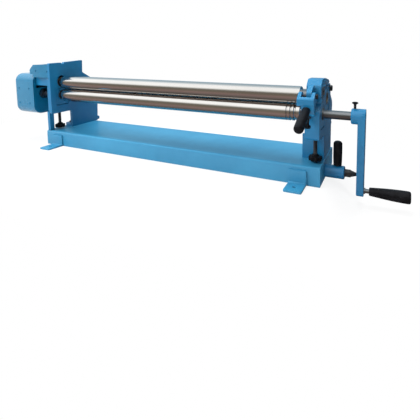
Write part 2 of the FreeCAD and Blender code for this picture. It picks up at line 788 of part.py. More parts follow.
def make_gear_cover():
    """Deep pressed cover over the gears, with ways in for the two shafts."""
    x_high = cover_inner_x
    x_low = x_high - cover_length
    y_low, z_low = yz(-cover_front, -cover_low)
    y_high, z_high = yz(cover_back, cover_high)
    shell = box(x_low, x_high, y_low, y_high, z_low, z_high)
    shells = []
    for inset in (0.0, cover_sheet):
        shell = box(x_low + inset, x_high - inset, y_low + inset, y_high - inset,
                    z_low + inset, z_high - inset)
        in_front = lambda edge: (abs(middle_of(edge).y - y_low - inset) < 0.1
                                 and abs(edge.tangentAt(0).x) > 0.9)
        at_end = lambda edge: abs(middle_of(edge).x - x_low - inset) < 0.1
        shell = fillet_where(shell, cover_front_round - inset, in_front)
        shells.append(fillet_where(shell, cover_end_round - inset, at_end))
    shell = shells[0].cut(shells[1])
    y, z = front_axis_y, front_axis_z
    shaft_way = rod(journal_radius + 6, (x_high - 10, y, z), (x_high + 10, y, z))
    tail_way = box(x_high - 10, x_high + 10, y - 45, y + 45, top_z - 34, top_z + 40)
    return shell.cut([shaft_way, tail_way])


def make_hood():
    """Upper housing over the tail bracket, with a sloped outer corner and a stepped underside."""
    x_high = plate_outer
    x_low = x_high - hood_length
    y_low, z_high = yz(-cover_front + 2, hood_high)
    depth = cover_back + cover_front - 2
    z_step = front_axis_z + cover_high + 0.4
    z_low = front_axis_z + hood_low
    x_step = cover_inner_x + 0.4
    sheet = cover_sheet
    corners = [(x_low, z_step, 0), (x_step, z_step, 0), (x_step, z_low, 0), (x_high, z_low, 0),
               (x_high, z_high, 0), (x_low + hood_corner, z_high - 3, 14), (x_low, z_high - hood_corner, 12)]
    inner = [(x_low + sheet, z_step - 1, 0), (x_step - 1, z_step - 1, 0), (x_step - 1, z_low - 1, 0),
             (x_high + 1, z_low - 1, 0), (x_high + 1, z_high - sheet, 0),
             (x_low + hood_corner + 1, z_high - 3 - sheet, 11), (x_low + sheet, z_high - hood_corner - 1, 9)]
    block = rounded_face(corners, lambda x, z: V(x, y_low, z)).extrude(V(0, depth, 0))
    hollow = rounded_face(inner, lambda x, z: V(x, y_low + sheet, z)).extrude(V(0, depth - 2 * sheet, 0))
    return block.cut(hollow)


def make_cover_carrier():
    """Closed bracket box between the gear side frame and the gear cover, behind the shafts."""
    low = cover_inner_x
    back, deep = carrier_back, cover_back - 2
    body = slab(low, left_outer - 4, [
        (back, -60, 0), (deep, -60, 0), (deep, carrier_high, 8), (back, carrier_high, 8)])
    flange = slab(low, plate_outer, [(back, -80, 8), (deep, -80, 8), (deep, -40, 0), (back, -40, 0)])
    return body.fuse(flange).removeSplitter()


# latch --------------------------------------------------------------------------------------

def make_latch_arm():
    hinge_y, hinge_z = yz(hinge_back, hinge_up)
    parting = roll_spacing + seat_clearance
    arm = slab(right_inner, right_outer, [
        (-46, parting + 2, 3), (-46, 112, 14), (-20, arch_top, 26), (44, arch_top - 1, 40),
        (118, 121, 30), (hinge_back + 6, hinge_up + 24, 4), (hinge_back - 22, hinge_up + 24, 6),
        (104, 103, 16), (70, 101, 14), (40, 92, 10), (36, parting, 2), (-36, parting, 2)])
    knuckle_low = right_inner + ear_thickness + knuckle_gap
    knuckle_high = right_outer - ear_thickness - knuckle_gap
    knuckle = rod(hinge_boss, (knuckle_low, hinge_y, hinge_z), (knuckle_high, hinge_y, hinge_z))
    root = slab(knuckle_low, knuckle_high, [
        (hinge_back - 34, 100, 0), (hinge_back - 12, hinge_up - 4, 0), (hinge_back + 16, hinge_up + 8, 0),
        (hinge_back + 6, hinge_up + 26, 0), (hinge_back - 30, 118, 0)])
    ear_room = []
    for low, high in ((right_inner - 1, knuckle_low), (knuckle_high, right_outer + 1)):
        ear_room.append(rod(hinge_boss + 2.5, (low, hinge_y, hinge_z), (high, hinge_y, hinge_z)))
    tongue_front = -fork_pivot_front - 13
    tongue = slab(tongue_low, tongue_high, [
        (tongue_front, fork_pivot_up - 13, 12.9), (-62, fork_pivot_up - 13, 8), (-50, parting + 1.5, 0),
        (-36, parting + 1.5, 0), (-36, 116, 0), (-60, 110, 20), (tongue_front, fork_pivot_up + 15, 13)])
    arm = arm.cut(ear_room).fuse([knuckle, root, tongue])
    arm = arm.cut(slab(right_inner - 1, right_outer + 1, half_bearing_outline()))
    arm = arm.cut(rod(hinge_pin_radius + running_clearance, (right_inner, hinge_y, hinge_z),
                      (right_outer, hinge_y, hinge_z)))
    y, z = yz(-fork_pivot_front, fork_pivot_up)
    arm = arm.cut(rod(fork_pin_radius + running_clearance, (tongue_low - 1, y, z), (tongue_high + 1, y, z)))
    return arm.removeSplitter()


def half_bearing_outline():
    low = roll_spacing + seat_clearance
    high = roll_spacing + half_block_up
    return [(-half_block, low, 0), (half_block, low, 0), (half_block, high, 4), (-half_block, high, 4)]


def make_half_bearing():
    """Steel block set in the arm, with the channel that closes over the top roll's journal."""
    y, z = front_axis_y, top_z
    block = slab(right_inner - half_block_out, right_outer, half_bearing_outline())
    channel = rod(journal_radius + seat_clearance, (right_inner - 9, y, z), (right_outer + 1, y, z))
    return block.cut(channel)


def make_hinge_bolt():
    hinge_y, hinge_z = yz(hinge_back, hinge_up)
    nut_end, head_end = right_inner - hinge_nut, right_outer + hinge_head
    shank = rod(hinge_pin_radius, (nut_end - 2, hinge_y, hinge_z), (right_outer + 2, hinge_y, hinge_z))
    head = hexagon(hinge_head_across, (right_outer, hinge_y, hinge_z), (head_end, hinge_y, hinge_z))
    nut = hexagon(hinge_nut_across, (nut_end, hinge_y, hinge_z), (right_inner, hinge_y, hinge_z))
    return shank.fuse([head, nut])


def fork_point(along, across, x):
    """Point of the hanging fork: along is down from its pivot, across is to the rear."""
    y, z = yz(-fork_pivot_front + across, fork_pivot_up - along)
    return (x, y, z)


def fork_slab(x_low, x_high, corners):
    places = []
    for along, across, radius in corners:
        places.append((-fork_pivot_front + across, fork_pivot_up - along, radius))
    return slab(x_low, x_high, places)


def screw_point(distance):
    """Point on the clamp screw's axis, measured from its tip down and forward."""
    lean = math.radians(fork_screw_lean)
    across = -screw_tip_in - distance * math.sin(lean)
    along = fork_pivot_up - screw_tip_up + distance * math.cos(lean)
    return fork_point(along, across, fork_middle)


def make_fork():
    """Swinging stirrup: two cheeks, a web in front that carries the grip, and a bridge below."""
    end = fork_reach + fork_bridge
    low_step = fork_step + 8
    front, inside = -fork_front, fork_web - fork_front
    fork = fork_slab(fork_low, fork_high, [
        (-15, -8, 12), (-15, 6, 12), (-9, fork_back, 10), (fork_step, fork_back, 5), (fork_reach - 8, 0, 4),
        (end, 0, 3), (end + 3, -14, 4), (end - 6, inside, 6), (26, front, 8), (6, front, 8)])
    tongue_room = fork_slab(tongue_low - fork_lug_room, fork_high - fork_cheek, [
        (-30, 60, 0), (end + 9, 60, 0), (end + 9, -2, 0), (fork_reach, -2, 0), (46, inside + 4, 4),
        (36, inside, 4), (-30, inside, 0)])
    side_room = fork_slab(fork_low + fork_cheek, fork_middle, [
        (-30, 60, 0), (fork_step - 8, 60, 0), (fork_step - 8, inside, 4), (-30, inside, 0)])
    waist = fork_slab(fork_low - 1, fork_waist_low, [
        (low_step, 60, 0), (low_step, -80, 0), (120, -80, 0), (120, 60, 0)])
    fork = fork.cut(tongue_room).cut(side_room).cut(waist)
    boss = rod(latch_boss_radius, screw_point(10), screw_point(latch_nut_start))
    behind_web = fork_slab(fork_low, fork_high, [
        (0, 40, 0), (90, 40, 0), (90, inside - 2, 0), (0, inside - 2, 0)])
    stub = rod(latch_stub_radius, grip_point(latch_grip_start - 14), grip_point(latch_grip_start))
    fork = fork.fuse([boss, stub.cut(behind_web)])
    y, z = yz(-fork_pivot_front, fork_pivot_up)
    fork = fork.cut(rod(fork_pin_radius, (fork_low - 1, y, z), (fork_high + 1, y, z)))
    screw_room = rod(latch_screw_radius + seat_clearance, screw_point(-3), screw_point(60))
    return fork.cut(screw_room).removeSplitter()


def grip_point(distance):
    """Point on the latch grip's axis, measured from a place under the fork's pivot."""
    angle = math.radians(grip_swing)
    along = grip_drop + distance * math.cos(angle)
    return fork_point(along, -distance * math.sin(angle), fork_middle - grip_in)


def grip_way():
    return V(*grip_point(1)) - V(*grip_point(0))


def make_fork_pin():
    y, z = yz(-fork_pivot_front, fork_pivot_up)
    pin = rod(fork_pin_radius, (fork_low - 2, y, z), (fork_high + 2, y, z))
    heads = []
    for low in (fork_low - fork_pin_head, fork_high):
        heads.append(hexagon(fork_pin_across, (low, y, z), (low + fork_pin_head, y, z)))
    return pin.fuse(heads)


def make_latch_grip():
    radius, length = latch_grip_radius, latch_grip_length
    profile = [(0, radius - 3), (2, radius - 2), (14, radius - 1.5), (30, radius - 0.6), (58, radius),
               (length - 10, radius - 0.4), (length - 3, radius - 3), (length, radius - 7)]
    return turned(profile, grip_point(latch_grip_start), tuple(grip_way()))


def make_latch_screw():
    end = latch_knob_drop + latch_knob_height - knob_floor
    screw = rod(latch_screw_radius, screw_point(3), screw_point(end))
    return screw.fuse(cone(4.0, latch_screw_radius, screw_point(0), screw_point(3)))


def make_latch_knob():
    way = V(*screw_point(1)) - V(*screw_point(0))
    start = screw_point(latch_knob_drop)
    knob = lobed_knob(latch_knob_radius, latch_knob_height, rear_knob_lobes, start, tuple(way))
    hole_end = latch_knob_drop + latch_knob_height - knob_floor
    return knob.cut(rod(latch_screw_radius, screw_point(latch_knob_drop - 1), screw_point(hole_end)))


def make_latch_lock_nut():
    """Nut that locks the clamp screw against the outer face of the bridge."""
    high = latch_nut_start + latch_nut_height
    nut = hexagon(latch_nut_across, screw_point(latch_nut_start), screw_point(high))
    hole_radius = latch_screw_radius + seat_clearance
    return nut.cut(rod(hole_radius, screw_point(latch_nut_start - 1), screw_point(high + 1)))


# crank --------------------------------------------------------------------------------------

def make_crank_arm():
    y, z = front_axis_y, front_axis_z
    hub = rod(crank_hub_radius, (hub_start, y, z), (hub_end, y, z))
    hub = hub.makeFillet(4, [edge for edge in hub.Edges if edge.Closed and middle_of(edge).x < hub_start + 1])
    low = -crank_throw - crank_tip_radius
    arm = slab(arm_start, hub_end, [
        (-crank_hub_radius, 0, 0), (-crank_tip_radius, low, 13), (crank_tip_radius, low, 13),
        (crank_hub_radius, 0, 0), (crank_hub_radius, 4, 0), (-crank_hub_radius, 4, 0)])
    on_face = lambda edge: min(abs(middle_of(edge).x - arm_start), abs(middle_of(edge).x - hub_end)) < 0.1
    arm = fillet_where(arm, 3, lambda edge: on_face(edge) and abs(middle_of(edge).z - z) > 20)
    window = slab(hub_end - 5, hub_end + 1, [(-9, -15, 3), (9, -15, 3), (9, 15, 3), (-9, 15, 3)])
    pin_z = z - crank_throw
    screw_x = hub_start + thumb_screw_in
    holes = [rod(shaft_radius, (hub_start - 1, y, z), (hub_end - 4, y, z)), window,
             rod(crank_pin_radius, (arm_start - 1, y, pin_z), (hub_end + 1, y, pin_z)),
             rod(thumb_stem_radius, (screw_x, y, z), (screw_x, y, z + crank_hub_radius + 11))]
    return hub.fuse(arm).cut(holes).removeSplitter()


def make_crank_pin():
    """Steel pin riveted in the arm, with a collar against the arm."""
    y, z = front_axis_y, front_axis_z - crank_throw
    grip_start = hub_end + crank_grip_start
    pin = rod(crank_pin_radius, (arm_start, y, z), (grip_start + crank_grip_length - 6, y, z))
    collar = rod(11.0, (hub_end, y, z), (hub_end + 5, y, z))
    return pin.fuse(collar)


def make_crank_grip():
    """Hand grip that turns on the pin: a long swell that widens to its free end."""
    y, z = front_axis_y, front_axis_z - crank_throw
    radius = crank_grip_radius
    length = crank_grip_length
    profile = [(0, 12), (2, 14), (12, 15), (30, 15.5), (52, 18), (78, 21), (100, radius - 1), (116, radius),
               (length - 10, radius - 1), (length - 3, radius - 6), (length, radius - 14)]
    grip = turned(profile, (hub_end + crank_grip_start, y, z), (1, 0, 0))
    bore = rod(crank_pin_radius + running_clearance + 0.25, (hub_end, y, z),
               (hub_end + crank_grip_start + length - 5, y, z))
    return grip.cut(bore)


def make_thumb_screw():
    """Star headed screw that clamps the crank on its shaft."""
    x, y = hub_start + thumb_screw_in, front_axis_y
    bottom = front_axis_z + shaft_radius
    top = front_axis_z + crank_hub_radius + thumb_head_rise
    stem = rod(thumb_stem_radius, (x, y, bottom), (x, y, top + 3))
    head = lobed_knob(thumb_head_radius, thumb_head_height, rear_knob_lobes, (x, y, top), (0, 0, 1))
    return stem.fuse(head)


# side lever ---------------------------------------------------------------------------------

def make_lever_hub():
    y, z = front_axis_y + lever_back, lever_up
    start = half_base + seat_clearance
    hub = rod(lever_hub_radius, (start, y, z), (start + lever_hub_length, y, z))
    hub = hub.makeFillet(3, [edge for edge in hub.Edges if edge.Closed])
    bore = rod(lever_stud_radius + running_clearance, (start - 1, y, z), (start + lever_hub_length + 1, y, z))
    return hub.cut([bore, rod(lever_rod_radius, (lever_x, y, z), (lever_x, y, z + 40))])


def make_lever_stud():
    """Fixed pivot stud of the side lever, with a hexagon and a cone nose."""
    y, z = front_axis_y + lever_back, lever_up
    start = half_base - base_sheet - 8
    end = half_base + lever_hub_length + 2 * seat_clearance
    nut_start = end + lever_washer
    nose_start = nut_start + lever_nut
    stud = rod(lever_stud_radius, (start, y, z), (nut_start, y, z))
    washer = rod(lever_washer_radius, (end, y, z), (nut_start, y, z))
    outer_nut = hexagon(lever_nut_across, (nut_start, y, z), (nose_start, y, z))
    nose = cone(13.0, 6.0, (nose_start, y, z), (nose_start + lever_nose, y, z))
    inner_nut = hexagon(lever_nut_across, (start - 4, y, z), (half_base - base_sheet, y, z))
    return stud.fuse([washer, outer_nut, nose, inner_nut])


def make_lever_grip():
    y, z = front_axis_y + lever_back, lever_up
    bottom = z + lever_hub_radius + 3
    height = lever_grip_top - bottom
    radius = lever_grip_radius
    profile = [(0, radius - 2), (2, radius - 1), (height * 0.4, radius), (height - 8, radius),
               (height - 2, radius - 3), (height, radius - 7)]
    grip = turned(profile, (lever_x, y, bottom), (0, 0, 1))
    return grip.cut(rod(lever_rod_radius, (lever_x, y, bottom - 1), (lever_x, y, bottom + height - 20)))


def make_lever_rod():
    y, z = front_axis_y + lever_back, lever_up
    bottom = z + lever_stud_radius + running_clearance + 3
    return rod(lever_rod_radius, (lever_x, y, bottom), (lever_x, y, lever_grip_top - 20))


# fasteners ----------------------------------------------------------------------------------

def make_frame_bolts():
    bolts = []
    for k, (x, y) in enumerate(frame_bolt_places()):
        seat = base_height + (frame_foot if k < 2 else left_foot)
        under = base_height - base_sheet
        head = hexagon(bolt_across, (x, y, seat), (x, y, seat + bolt_head))
        shank = rod(bolt_radius, (x, y, under - bolt_nut - 2), (x, y, seat + 1))
        nut = hexagon(bolt_across, (x, y, under - bolt_nut), (x, y, under))
        bolts.append(shank.fuse([head, nut]))
    return bolts


def make_cover_screws():
    """Round headed screws of the hood's front and of the gear cover's front."""
    radius, head = cover_screw_radius, cover_screw_head
    profile = [(0, radius), (head / 2, radius), (head, radius - 2)]
    hood_y, cover_y = front_axis_y - cover_front + 2, front_axis_y - cover_front
    middle = cover_inner_x - cover_length / 2
    places = [(plate_outer - back, hood_y, front_axis_z + cover_high + 18) for back in (22, 112)]
    for side in (-42, 42):
        places += [(middle + side, cover_y, front_axis_z + up) for up in (-50, 32)]
    return [turned(profile, place, (0, -1, 0)) for place in places]


def main():
    write("base_channel", make_base())
    write("base_ends", *make_base_ends())
    for side, end in ((-1, "left"), (1, "right")):
        for face, depth in ((-1, "front"), (1, "rear")):
            write(depth + "_foot_" + end, make_foot(side, face))
    write("right_frame", make_right_frame())
    write("left_frame", make_left_frame())
    write("front_post", make_front_post())
    for end, low, high, middle, rear_middle in (
            ("left", left_outer, left_inner, left_middle, left_rear_middle),
            ("right", right_inner, right_outer, right_middle, right_middle)):
        write("front_block_" + end, make_block(low, high))
        write("front_bush_" + end, make_bush(low, high))
        write("front_screw_" + end, make_front_screw(middle))
        write("front_knob_" + end, make_front_knob(middle))
        write("rear_block_" + end, to_rear(make_block(low, high)))
        write("rear_bush_" + end, to_rear(make_bush(low, high)))
        write("rear_screw_" + end, make_rear_screw(rear_middle))
        write("rear_knob_" + end, make_rear_knob(rear_middle))
    write("lock_nuts", *make_lock_nuts())
    write("front_roll", make_front_roll())
    write("rear_roll", make_rear_roll())
    write("top_roll", make_top_roll())
    write("front_gear", make_gear(front_axis_z, 90 + 180 / gear_teeth, tail_radius))
    write("top_gear", make_gear(top_z, -90, journal_radius))
    write("tail_quill", make_quill())
    write("quill_pins", *make_quill_pins())
    write("quill_bushes", *make_quill_bushes())
    write("tail_bracket", make_tail_bracket())
    write("gear_cover", make_gear_cover())
    write("tail_hood", make_hood())
    write("cover_carrier", make_cover_carrier())
    write("shaft_collar", make_shaft_collar())
    write("cover_screws", *make_cover_screws())
    write("latch_arm", make_latch_arm())
    write("half_bearing", make_half_bearing())
    write("hinge_bolt", make_hinge_bolt())
    write("latch_fork", make_fork())
    write("fork_pin", make_fork_pin())
    write("latch_grip", make_latch_grip())
    write("latch_screw", make_latch_screw())
    write("latch_knob", make_latch_knob())
    write("latch_lock_nut", make_latch_lock_nut())
    write("crank_arm", make_crank_arm())
    write("crank_pin", make_crank_pin())
    write("crank_grip", make_crank_grip())
    write("thumb_screw", make_thumb_screw())
    write("lever_hub", make_lever_hub())
    write("lever_stud", make_lever_stud())
    write("lever_grip", make_lever_grip())
    write("lever_rod", make_lever_rod())
    write("frame_bolts", *make_frame_bolts())


main()
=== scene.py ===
import bpy
import bmesh
import json
import math
from mathutils import Matrix, Vector


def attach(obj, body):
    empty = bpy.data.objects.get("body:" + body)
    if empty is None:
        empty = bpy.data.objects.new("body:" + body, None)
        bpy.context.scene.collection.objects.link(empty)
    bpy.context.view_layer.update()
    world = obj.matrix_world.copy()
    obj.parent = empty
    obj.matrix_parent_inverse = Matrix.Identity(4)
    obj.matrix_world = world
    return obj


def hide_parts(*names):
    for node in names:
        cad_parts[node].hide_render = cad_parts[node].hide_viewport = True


# Lengths are in millimetres until a mesh is made, and in metres in the materials and the studio.
# Colours are linear.

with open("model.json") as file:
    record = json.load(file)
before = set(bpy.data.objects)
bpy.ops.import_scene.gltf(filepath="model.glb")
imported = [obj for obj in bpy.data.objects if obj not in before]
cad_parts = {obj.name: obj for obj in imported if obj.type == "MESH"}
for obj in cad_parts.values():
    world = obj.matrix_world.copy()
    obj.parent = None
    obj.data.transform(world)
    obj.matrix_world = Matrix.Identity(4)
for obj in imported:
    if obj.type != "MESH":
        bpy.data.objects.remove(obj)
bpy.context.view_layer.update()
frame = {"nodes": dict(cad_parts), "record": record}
nodes = frame["nodes"]
record = frame["record"]
joints = {row["name"]: row for row in record["behaviour"]["joints"]}
slotOf = {row["node"]: row["material_slot"] for row in record["subparts"]}
bodyOf = {node: body for body, names in record["behaviour"]["bodies"].items() for node in names}
mm = 0.001
weldWithin = 0.000005   # metres
print("frame loaded")


# shapes: each is (points, faces), with so many corners around when it is turned

around = {"roll": 144, "grip": 96, "knob": 96, "hexagon": 72, "shank": 48, "thread": 30}


def joined(*shapes):
    points, faces = [], []
    for morePoints, moreFaces in shapes:
        start = len(points)
        points += morePoints
        faces += [tuple(start + i for i in face) for face in moreFaces]
    return points, faces


def acrossWays(way):
    helper = Vector((1, 0, 0)) if abs(way.x) < 0.9 else Vector((0, 0, 1))
    first = way.cross(helper).normalized()
    return first, way.cross(first)


def turned(levels, start, way, segments, looped=False):
    # skin through rings about an axis; a level is (along, radius), or gives that for an angle
    start, way = Vector(start), Vector(way).normalized()
    first, second = acrossWays(way)
    points = []
    for level in levels:
        for k in range(segments):
            angle = 2 * math.pi * k / segments
            along, radius = level(angle) if callable(level) else level
            outwards = first * math.cos(angle) + second * math.sin(angle)
            points.append(start + way * along + outwards * radius)
    faces = []
    count = len(levels)
    for row in range(count if looped else count - 1):
        here, there = row * segments, (row + 1) % count * segments
        for k in range(segments):
            following = (k + 1) % segments
            faces.append((here + k, here + following, there + following, there + k))
    if not looped:
        faces.append(tuple(reversed(range(segments))))
        faces.append(tuple(range((count - 1) * segments, count * segments)))
    return points, faces


def arcLevels(centreAlong, centreRadius, radius, fromDegrees, toDegrees, steps=6):
    # levels on an arc in the turning plane; 0 degrees points outwards and 90 along the axis
    levels = []
    for k in range(steps + 1):
        angle = math.radians(fromDegrees + (toDegrees - fromDegrees) * k / steps)
        levels.append((centreAlong + radius * math.sin(angle), centreRadius + radius * math.cos(angle)))
    return levels


def smoothLevels(stations, steps=5):
    # levels on a smooth curve through (along, radius) stations
    levels = []
    for i in range(len(stations) - 1):
        before = stations[max(i - 1, 0)]
        low, high = stations[i], stations[i + 1]
        after = stations[min(i + 2, len(stations) - 1)]
        for k in range(steps):
            t = k / steps
            blend = []
            for a, b, c, d in zip(before, low, high, after):
                bend = (2 * a - 5 * b + 4 * c - d) * t * t + (3 * b - a - 3 * c + d) * t ** 3
                blend.append(b + 0.5 * ((c - a) * t + bend))
            levels.append(tuple(blend))
    return levels + [stations[-1]]


def hexRadius(across, angle):
    return across / 2 / math.cos((angle + math.pi / 6) % (math.pi / 3) - math.pi / 6)


# hexagons whose ends are turned to a circle, with shares of the width across flats

hexForm = {"circle": 0.97, "chamferDegrees": 30, "boreEdge": 1.0, "dish": (0.40, 0.34), "dishDepth": 0.4}


def hexRings(across, low, high, chamferLow=True):
    circle = across / 2 * hexForm["circle"]
    slope = math.tan(math.radians(hexForm["chamferDegrees"]))

    def drop(angle):
        return (hexRadius(across, angle) - circle) * slope

    if chamferLow:
        rings = [(low, circle), lambda angle: (low + drop(angle), hexRadius(across, angle))]
    else:
        rings = [lambda angle: (low, hexRadius(across, angle))]
    return rings + [lambda angle: (high - drop(angle), hexRadius(across, angle)), (high, circle)]


def acrossFlats(cornerRadius):
    return cornerRadius * math.sqrt(3)


def hexNut(across, hole, low, high, start, way):
    edge = hexForm["boreEdge"]
    bore = [(high - edge, hole), (low + edge, hole)]
    rings = [(low, hole + edge), *hexRings(across, low, high), (high, hole + edge), *bore]
    return turned(rings, start, way, around["hexagon"], looped=True)


def hexHead(across, low, high, start, way):
    # flat seat, chamfered top with a shallow dish
    rim, floor = hexForm["dish"]
    rings = hexRings(across, low, high, chamferLow=False)
    rings += [(high, across * rim), (high - hexForm["dishDepth"], across * floor)]
    return turned(rings, start, way, around["hexagon"])


# threads: depth and pitch

threads = {"adjuster": (1.15, 2.0), "latch": (0.95, 1.75), "bolt": (0.9, 1.75), "thumb": (0.75, 1.5)}
threadForm = {"rowsPerPitch": 5, "taper": 1.4}
threadSharp = 80   # degrees below which a thread is shaded smooth


def thread(radius, kind, low, high, start, way):
    depth, pitch = threads[kind]
    rows = int((high - low) / pitch * threadForm["rowsPerPitch"])

    def level(along):
        def place(angle):
            phase = (along / pitch + angle / (2 * math.pi)) % 1.0
            cut = depth * (1 - abs(2 * phase - 1))
            nearEnd = min(along - low, high - along)
            return along, min(radius - cut, radius - depth * threadForm["taper"] + nearEnd)
        return place

    levels = [level(low + (high - low) * i / rows) for i in range(rows + 1)]
    return turned(levels, start, way, around["thread"])


# star knobs: hub as (share of the shoulder, more, share of the radius), rims as (along, inset) from the
# shoulder and from the face, face as (along, share of the radius), and scoops as shares of the radius

knobForm = {
    "shoulder": 0.3, "scoopCentre": 1.135, "scoop": 0.3, "blend": 0.025,
    "hub": ((0.0, 0.0, 0.38), (0.0, 0.0, 0.42), (0.0, 0.8, 0.45), (0.5, 0.0, 0.53), (1.0, -0.6, 0.66),
            (1.0, 0.0, 0.72)),
    "lowerRim": ((0.0, 3.0), (0.5, 1.4), (1.8, 0.3), (3.2, 0.0)),
    "upperRim": ((-4.5, 0.0), (-2.4, 0.7), (-1.0, 2.0), (-0.3, 3.8)),
    "face": ((-0.1, 0.50), (-0.3, 0.47), (-1.4, 0.44), (-1.4, 0.30), (-0.8, 0.27), (-0.6, 0.10)),
}


def scalloped(radius, lobeCount):
    # rim of a star knob: scoops between rounded lobes, blended where they meet
    centre, scoop, soft = (radius * knobForm[name] for name in ("scoopCentre", "scoop", "blend"))

    def at(angle):
        off = (angle + math.pi / lobeCount) % (2 * math.pi / lobeCount) - math.pi / lobeCount
        room = scoop * scoop - (centre * math.sin(off)) ** 2
        if room <= 0:
            return radius
        near = centre * math.cos(off) - math.sqrt(room)
        return -soft * math.log(math.exp(-radius / soft) + math.exp(-near / soft))
    return at


def starKnob(radius, height, lobeCount, start, way):
    # stepped hub on the inner side, rounded lobes, a ring pressed into the face
    rim = scalloped(radius, lobeCount)
    shoulder = height * knobForm["shoulder"]

    def lobe(along, inset):
        return lambda angle: (along, rim(angle) - inset)

    hub = [(shoulder * part + more, radius * share) for part, more, share in knobForm["hub"]]
    sides = [lobe(shoulder + along, inset) for along, inset in knobForm["lowerRim"]]
    sides += [lobe(height + along, inset) for along, inset in knobForm["upperRim"]]
    face = [(height + along, radius * share) for along, share in knobForm["face"]]
    return turned(hub + sides + face, start, way, around["knob"])


# reading places from the frame

def axisOf(jointName):
    row = joints[jointName]
    return Vector(row["pos_m"]) / mm, Vector(row["axis"]).normalized()


def alongX(jointName):
    # a line along the rolls through a joint's axis
    start = axisOf(jointName)[0]
    return Vector((0.0, start.y, start.z)), Vector((1, 0, 0))


def islands(node):
    # corners of each separate solid of a node
    mesh = nodes[node].data
    work = bmesh.new()
    work.from_mesh(mesh)
    bmesh.ops.remove_doubles(work, verts=work.verts, dist=2 * weldWithin)
    groups, seen = [], set()
    for vert in work.verts:
        if vert in seen:
            continue
        group, waiting = [], [vert]
        seen.add(vert)
        while waiting:
            here = waiting.pop()
            group.append(here.co / mm)
            for edge in here.link_edges:
                other = edge.other_vert(here)
                if other not in seen:
                    seen.add(other)
                    waiting.append(other)
        groups.append(group)
    work.free()
    return groups


def span(corners, start, way):
    along = [(corner - start).dot(way) for corner in corners]
    return min(along), max(along)


def reach(corners, start, way):
    return max(((corner - start) - way * (corner - start).dot(way)).length for corner in corners)


def extent(corners, start, way):
    return (*span(corners, start, way), reach(corners, start, way))


def cornersOf(node):
    return [vert.co / mm for vert in nodes[node].data.vertices]


def middleOf(corners):
    low = Vector([min(corner[i] for corner in corners) for i in range(3)])
    high = Vector([max(corner[i] for corner in corners) for i in range(3)])
    return (low + high) / 2


def makePiece(name, shape, node, finish=None, replaced=True, sharpFrom=32):
    points, faces = shape
    mesh = bpy.data.meshes.new(name)
    mesh.from_pydata([Vector(point) * mm for point in points], [], faces)
    work = bmesh.new()
    work.from_mesh(mesh)
    bmesh.ops.remove_doubles(work, verts=work.verts, dist=weldWithin)
    bmesh.ops.recalc_face_normals(work, faces=work.faces)
    work.to_mesh(mesh)
    work.free()
    for face in mesh.polygons:
        face.use_smooth = True
    mesh.set_sharp_from_angle(angle=math.radians(sharpFrom))
    piece = bpy.data.objects.new(name, mesh)
    bpy.context.scene.collection.objects.link(piece)
    mesh.materials.append(finish or finishes[slotOf[node]])
    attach(piece, bodyOf[node])
    if replaced:
        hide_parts(node)


# node tree helpers

def newMaterial(name):
    material = bpy.data.materials.new(name)
    material.use_nodes = True
    tree = material.node_tree
    tree.nodes.clear()
    out = tree.nodes.new("ShaderNodeOutputMaterial")
    shader = tree.nodes.new("ShaderNodeBsdfPrincipled")
    tree.links.new(shader.outputs[0], out.inputs[0])
    return material, tree, shader


def objectCoords(tree, scale=(1, 1, 1)):
    coords = tree.nodes.new("ShaderNodeTexCoord")
    mapping = tree.nodes.new("ShaderNodeMapping")
    mapping.inputs["Scale"].default_value = scale
    tree.links.new(coords.outputs["Object"], mapping.inputs["Vector"])
    return mapping.outputs[0]


def noise(tree, coords, scale, detail=3.0, roughness=0.55):
    node = tree.nodes.new("ShaderNodeTexNoise")
    node.inputs["Scale"].default_value = scale
    node.inputs["Detail"].default_value = detail
    node.inputs["Roughness"].default_value = roughness
    tree.links.new(coords, node.inputs["Vector"])
    return node.outputs["Fac"]


def remap(tree, value, fromLow, fromHigh, toLow=0.0, toHigh=1.0):
    node = tree.nodes.new("ShaderNodeMapRange")
    numbers = {"From Min": fromLow, "From Max": fromHigh, "To Min": toLow, "To Max": toHigh}
    for name, number in numbers.items():
        node.inputs[name].default_value = number
    tree.links.new(value, node.inputs["Value"])
    return node.outputs[0]


def combine(tree, operation, first, second):
    node = tree.nodes.new("ShaderNodeMath")
    node.operation = operation
    for socket, value in zip(node.inputs, (first, second)):
        if isinstance(value, float):
            socket.default_value = value
        else:
            tree.links.new(value, socket)
    return node.outputs[0]


def mixColour(tree, factor, first, second):
    node = tree.nodes.new("ShaderNodeMix")
    node.data_type = "RGBA"
    colours = [socket for socket in node.inputs if socket.type == "RGBA"]
    for socket, colour in zip(colours, (first, second)):
        if isinstance(colour, tuple):
            socket.default_value = (*colour, 1.0)
        else:
            tree.links.new(colour, socket)
    tree.links.new(factor, node.inputs["Factor"])
    return [socket for socket in node.outputs if socket.type == "RGBA"][0]


def bump(tree, shader, height, strength, distance):
    node = tree.nodes.new("ShaderNodeBump")
    node.inputs["Strength"].default_value = strength
    node.inputs["Distance"].default_value = distance
    tree.links.new(height, node.inputs["Height"])
    tree.links.new(node.outputs[0], shader.inputs["Normal"])


# enamels: skin is (noise scale, detail) and bump is (strength, distance)

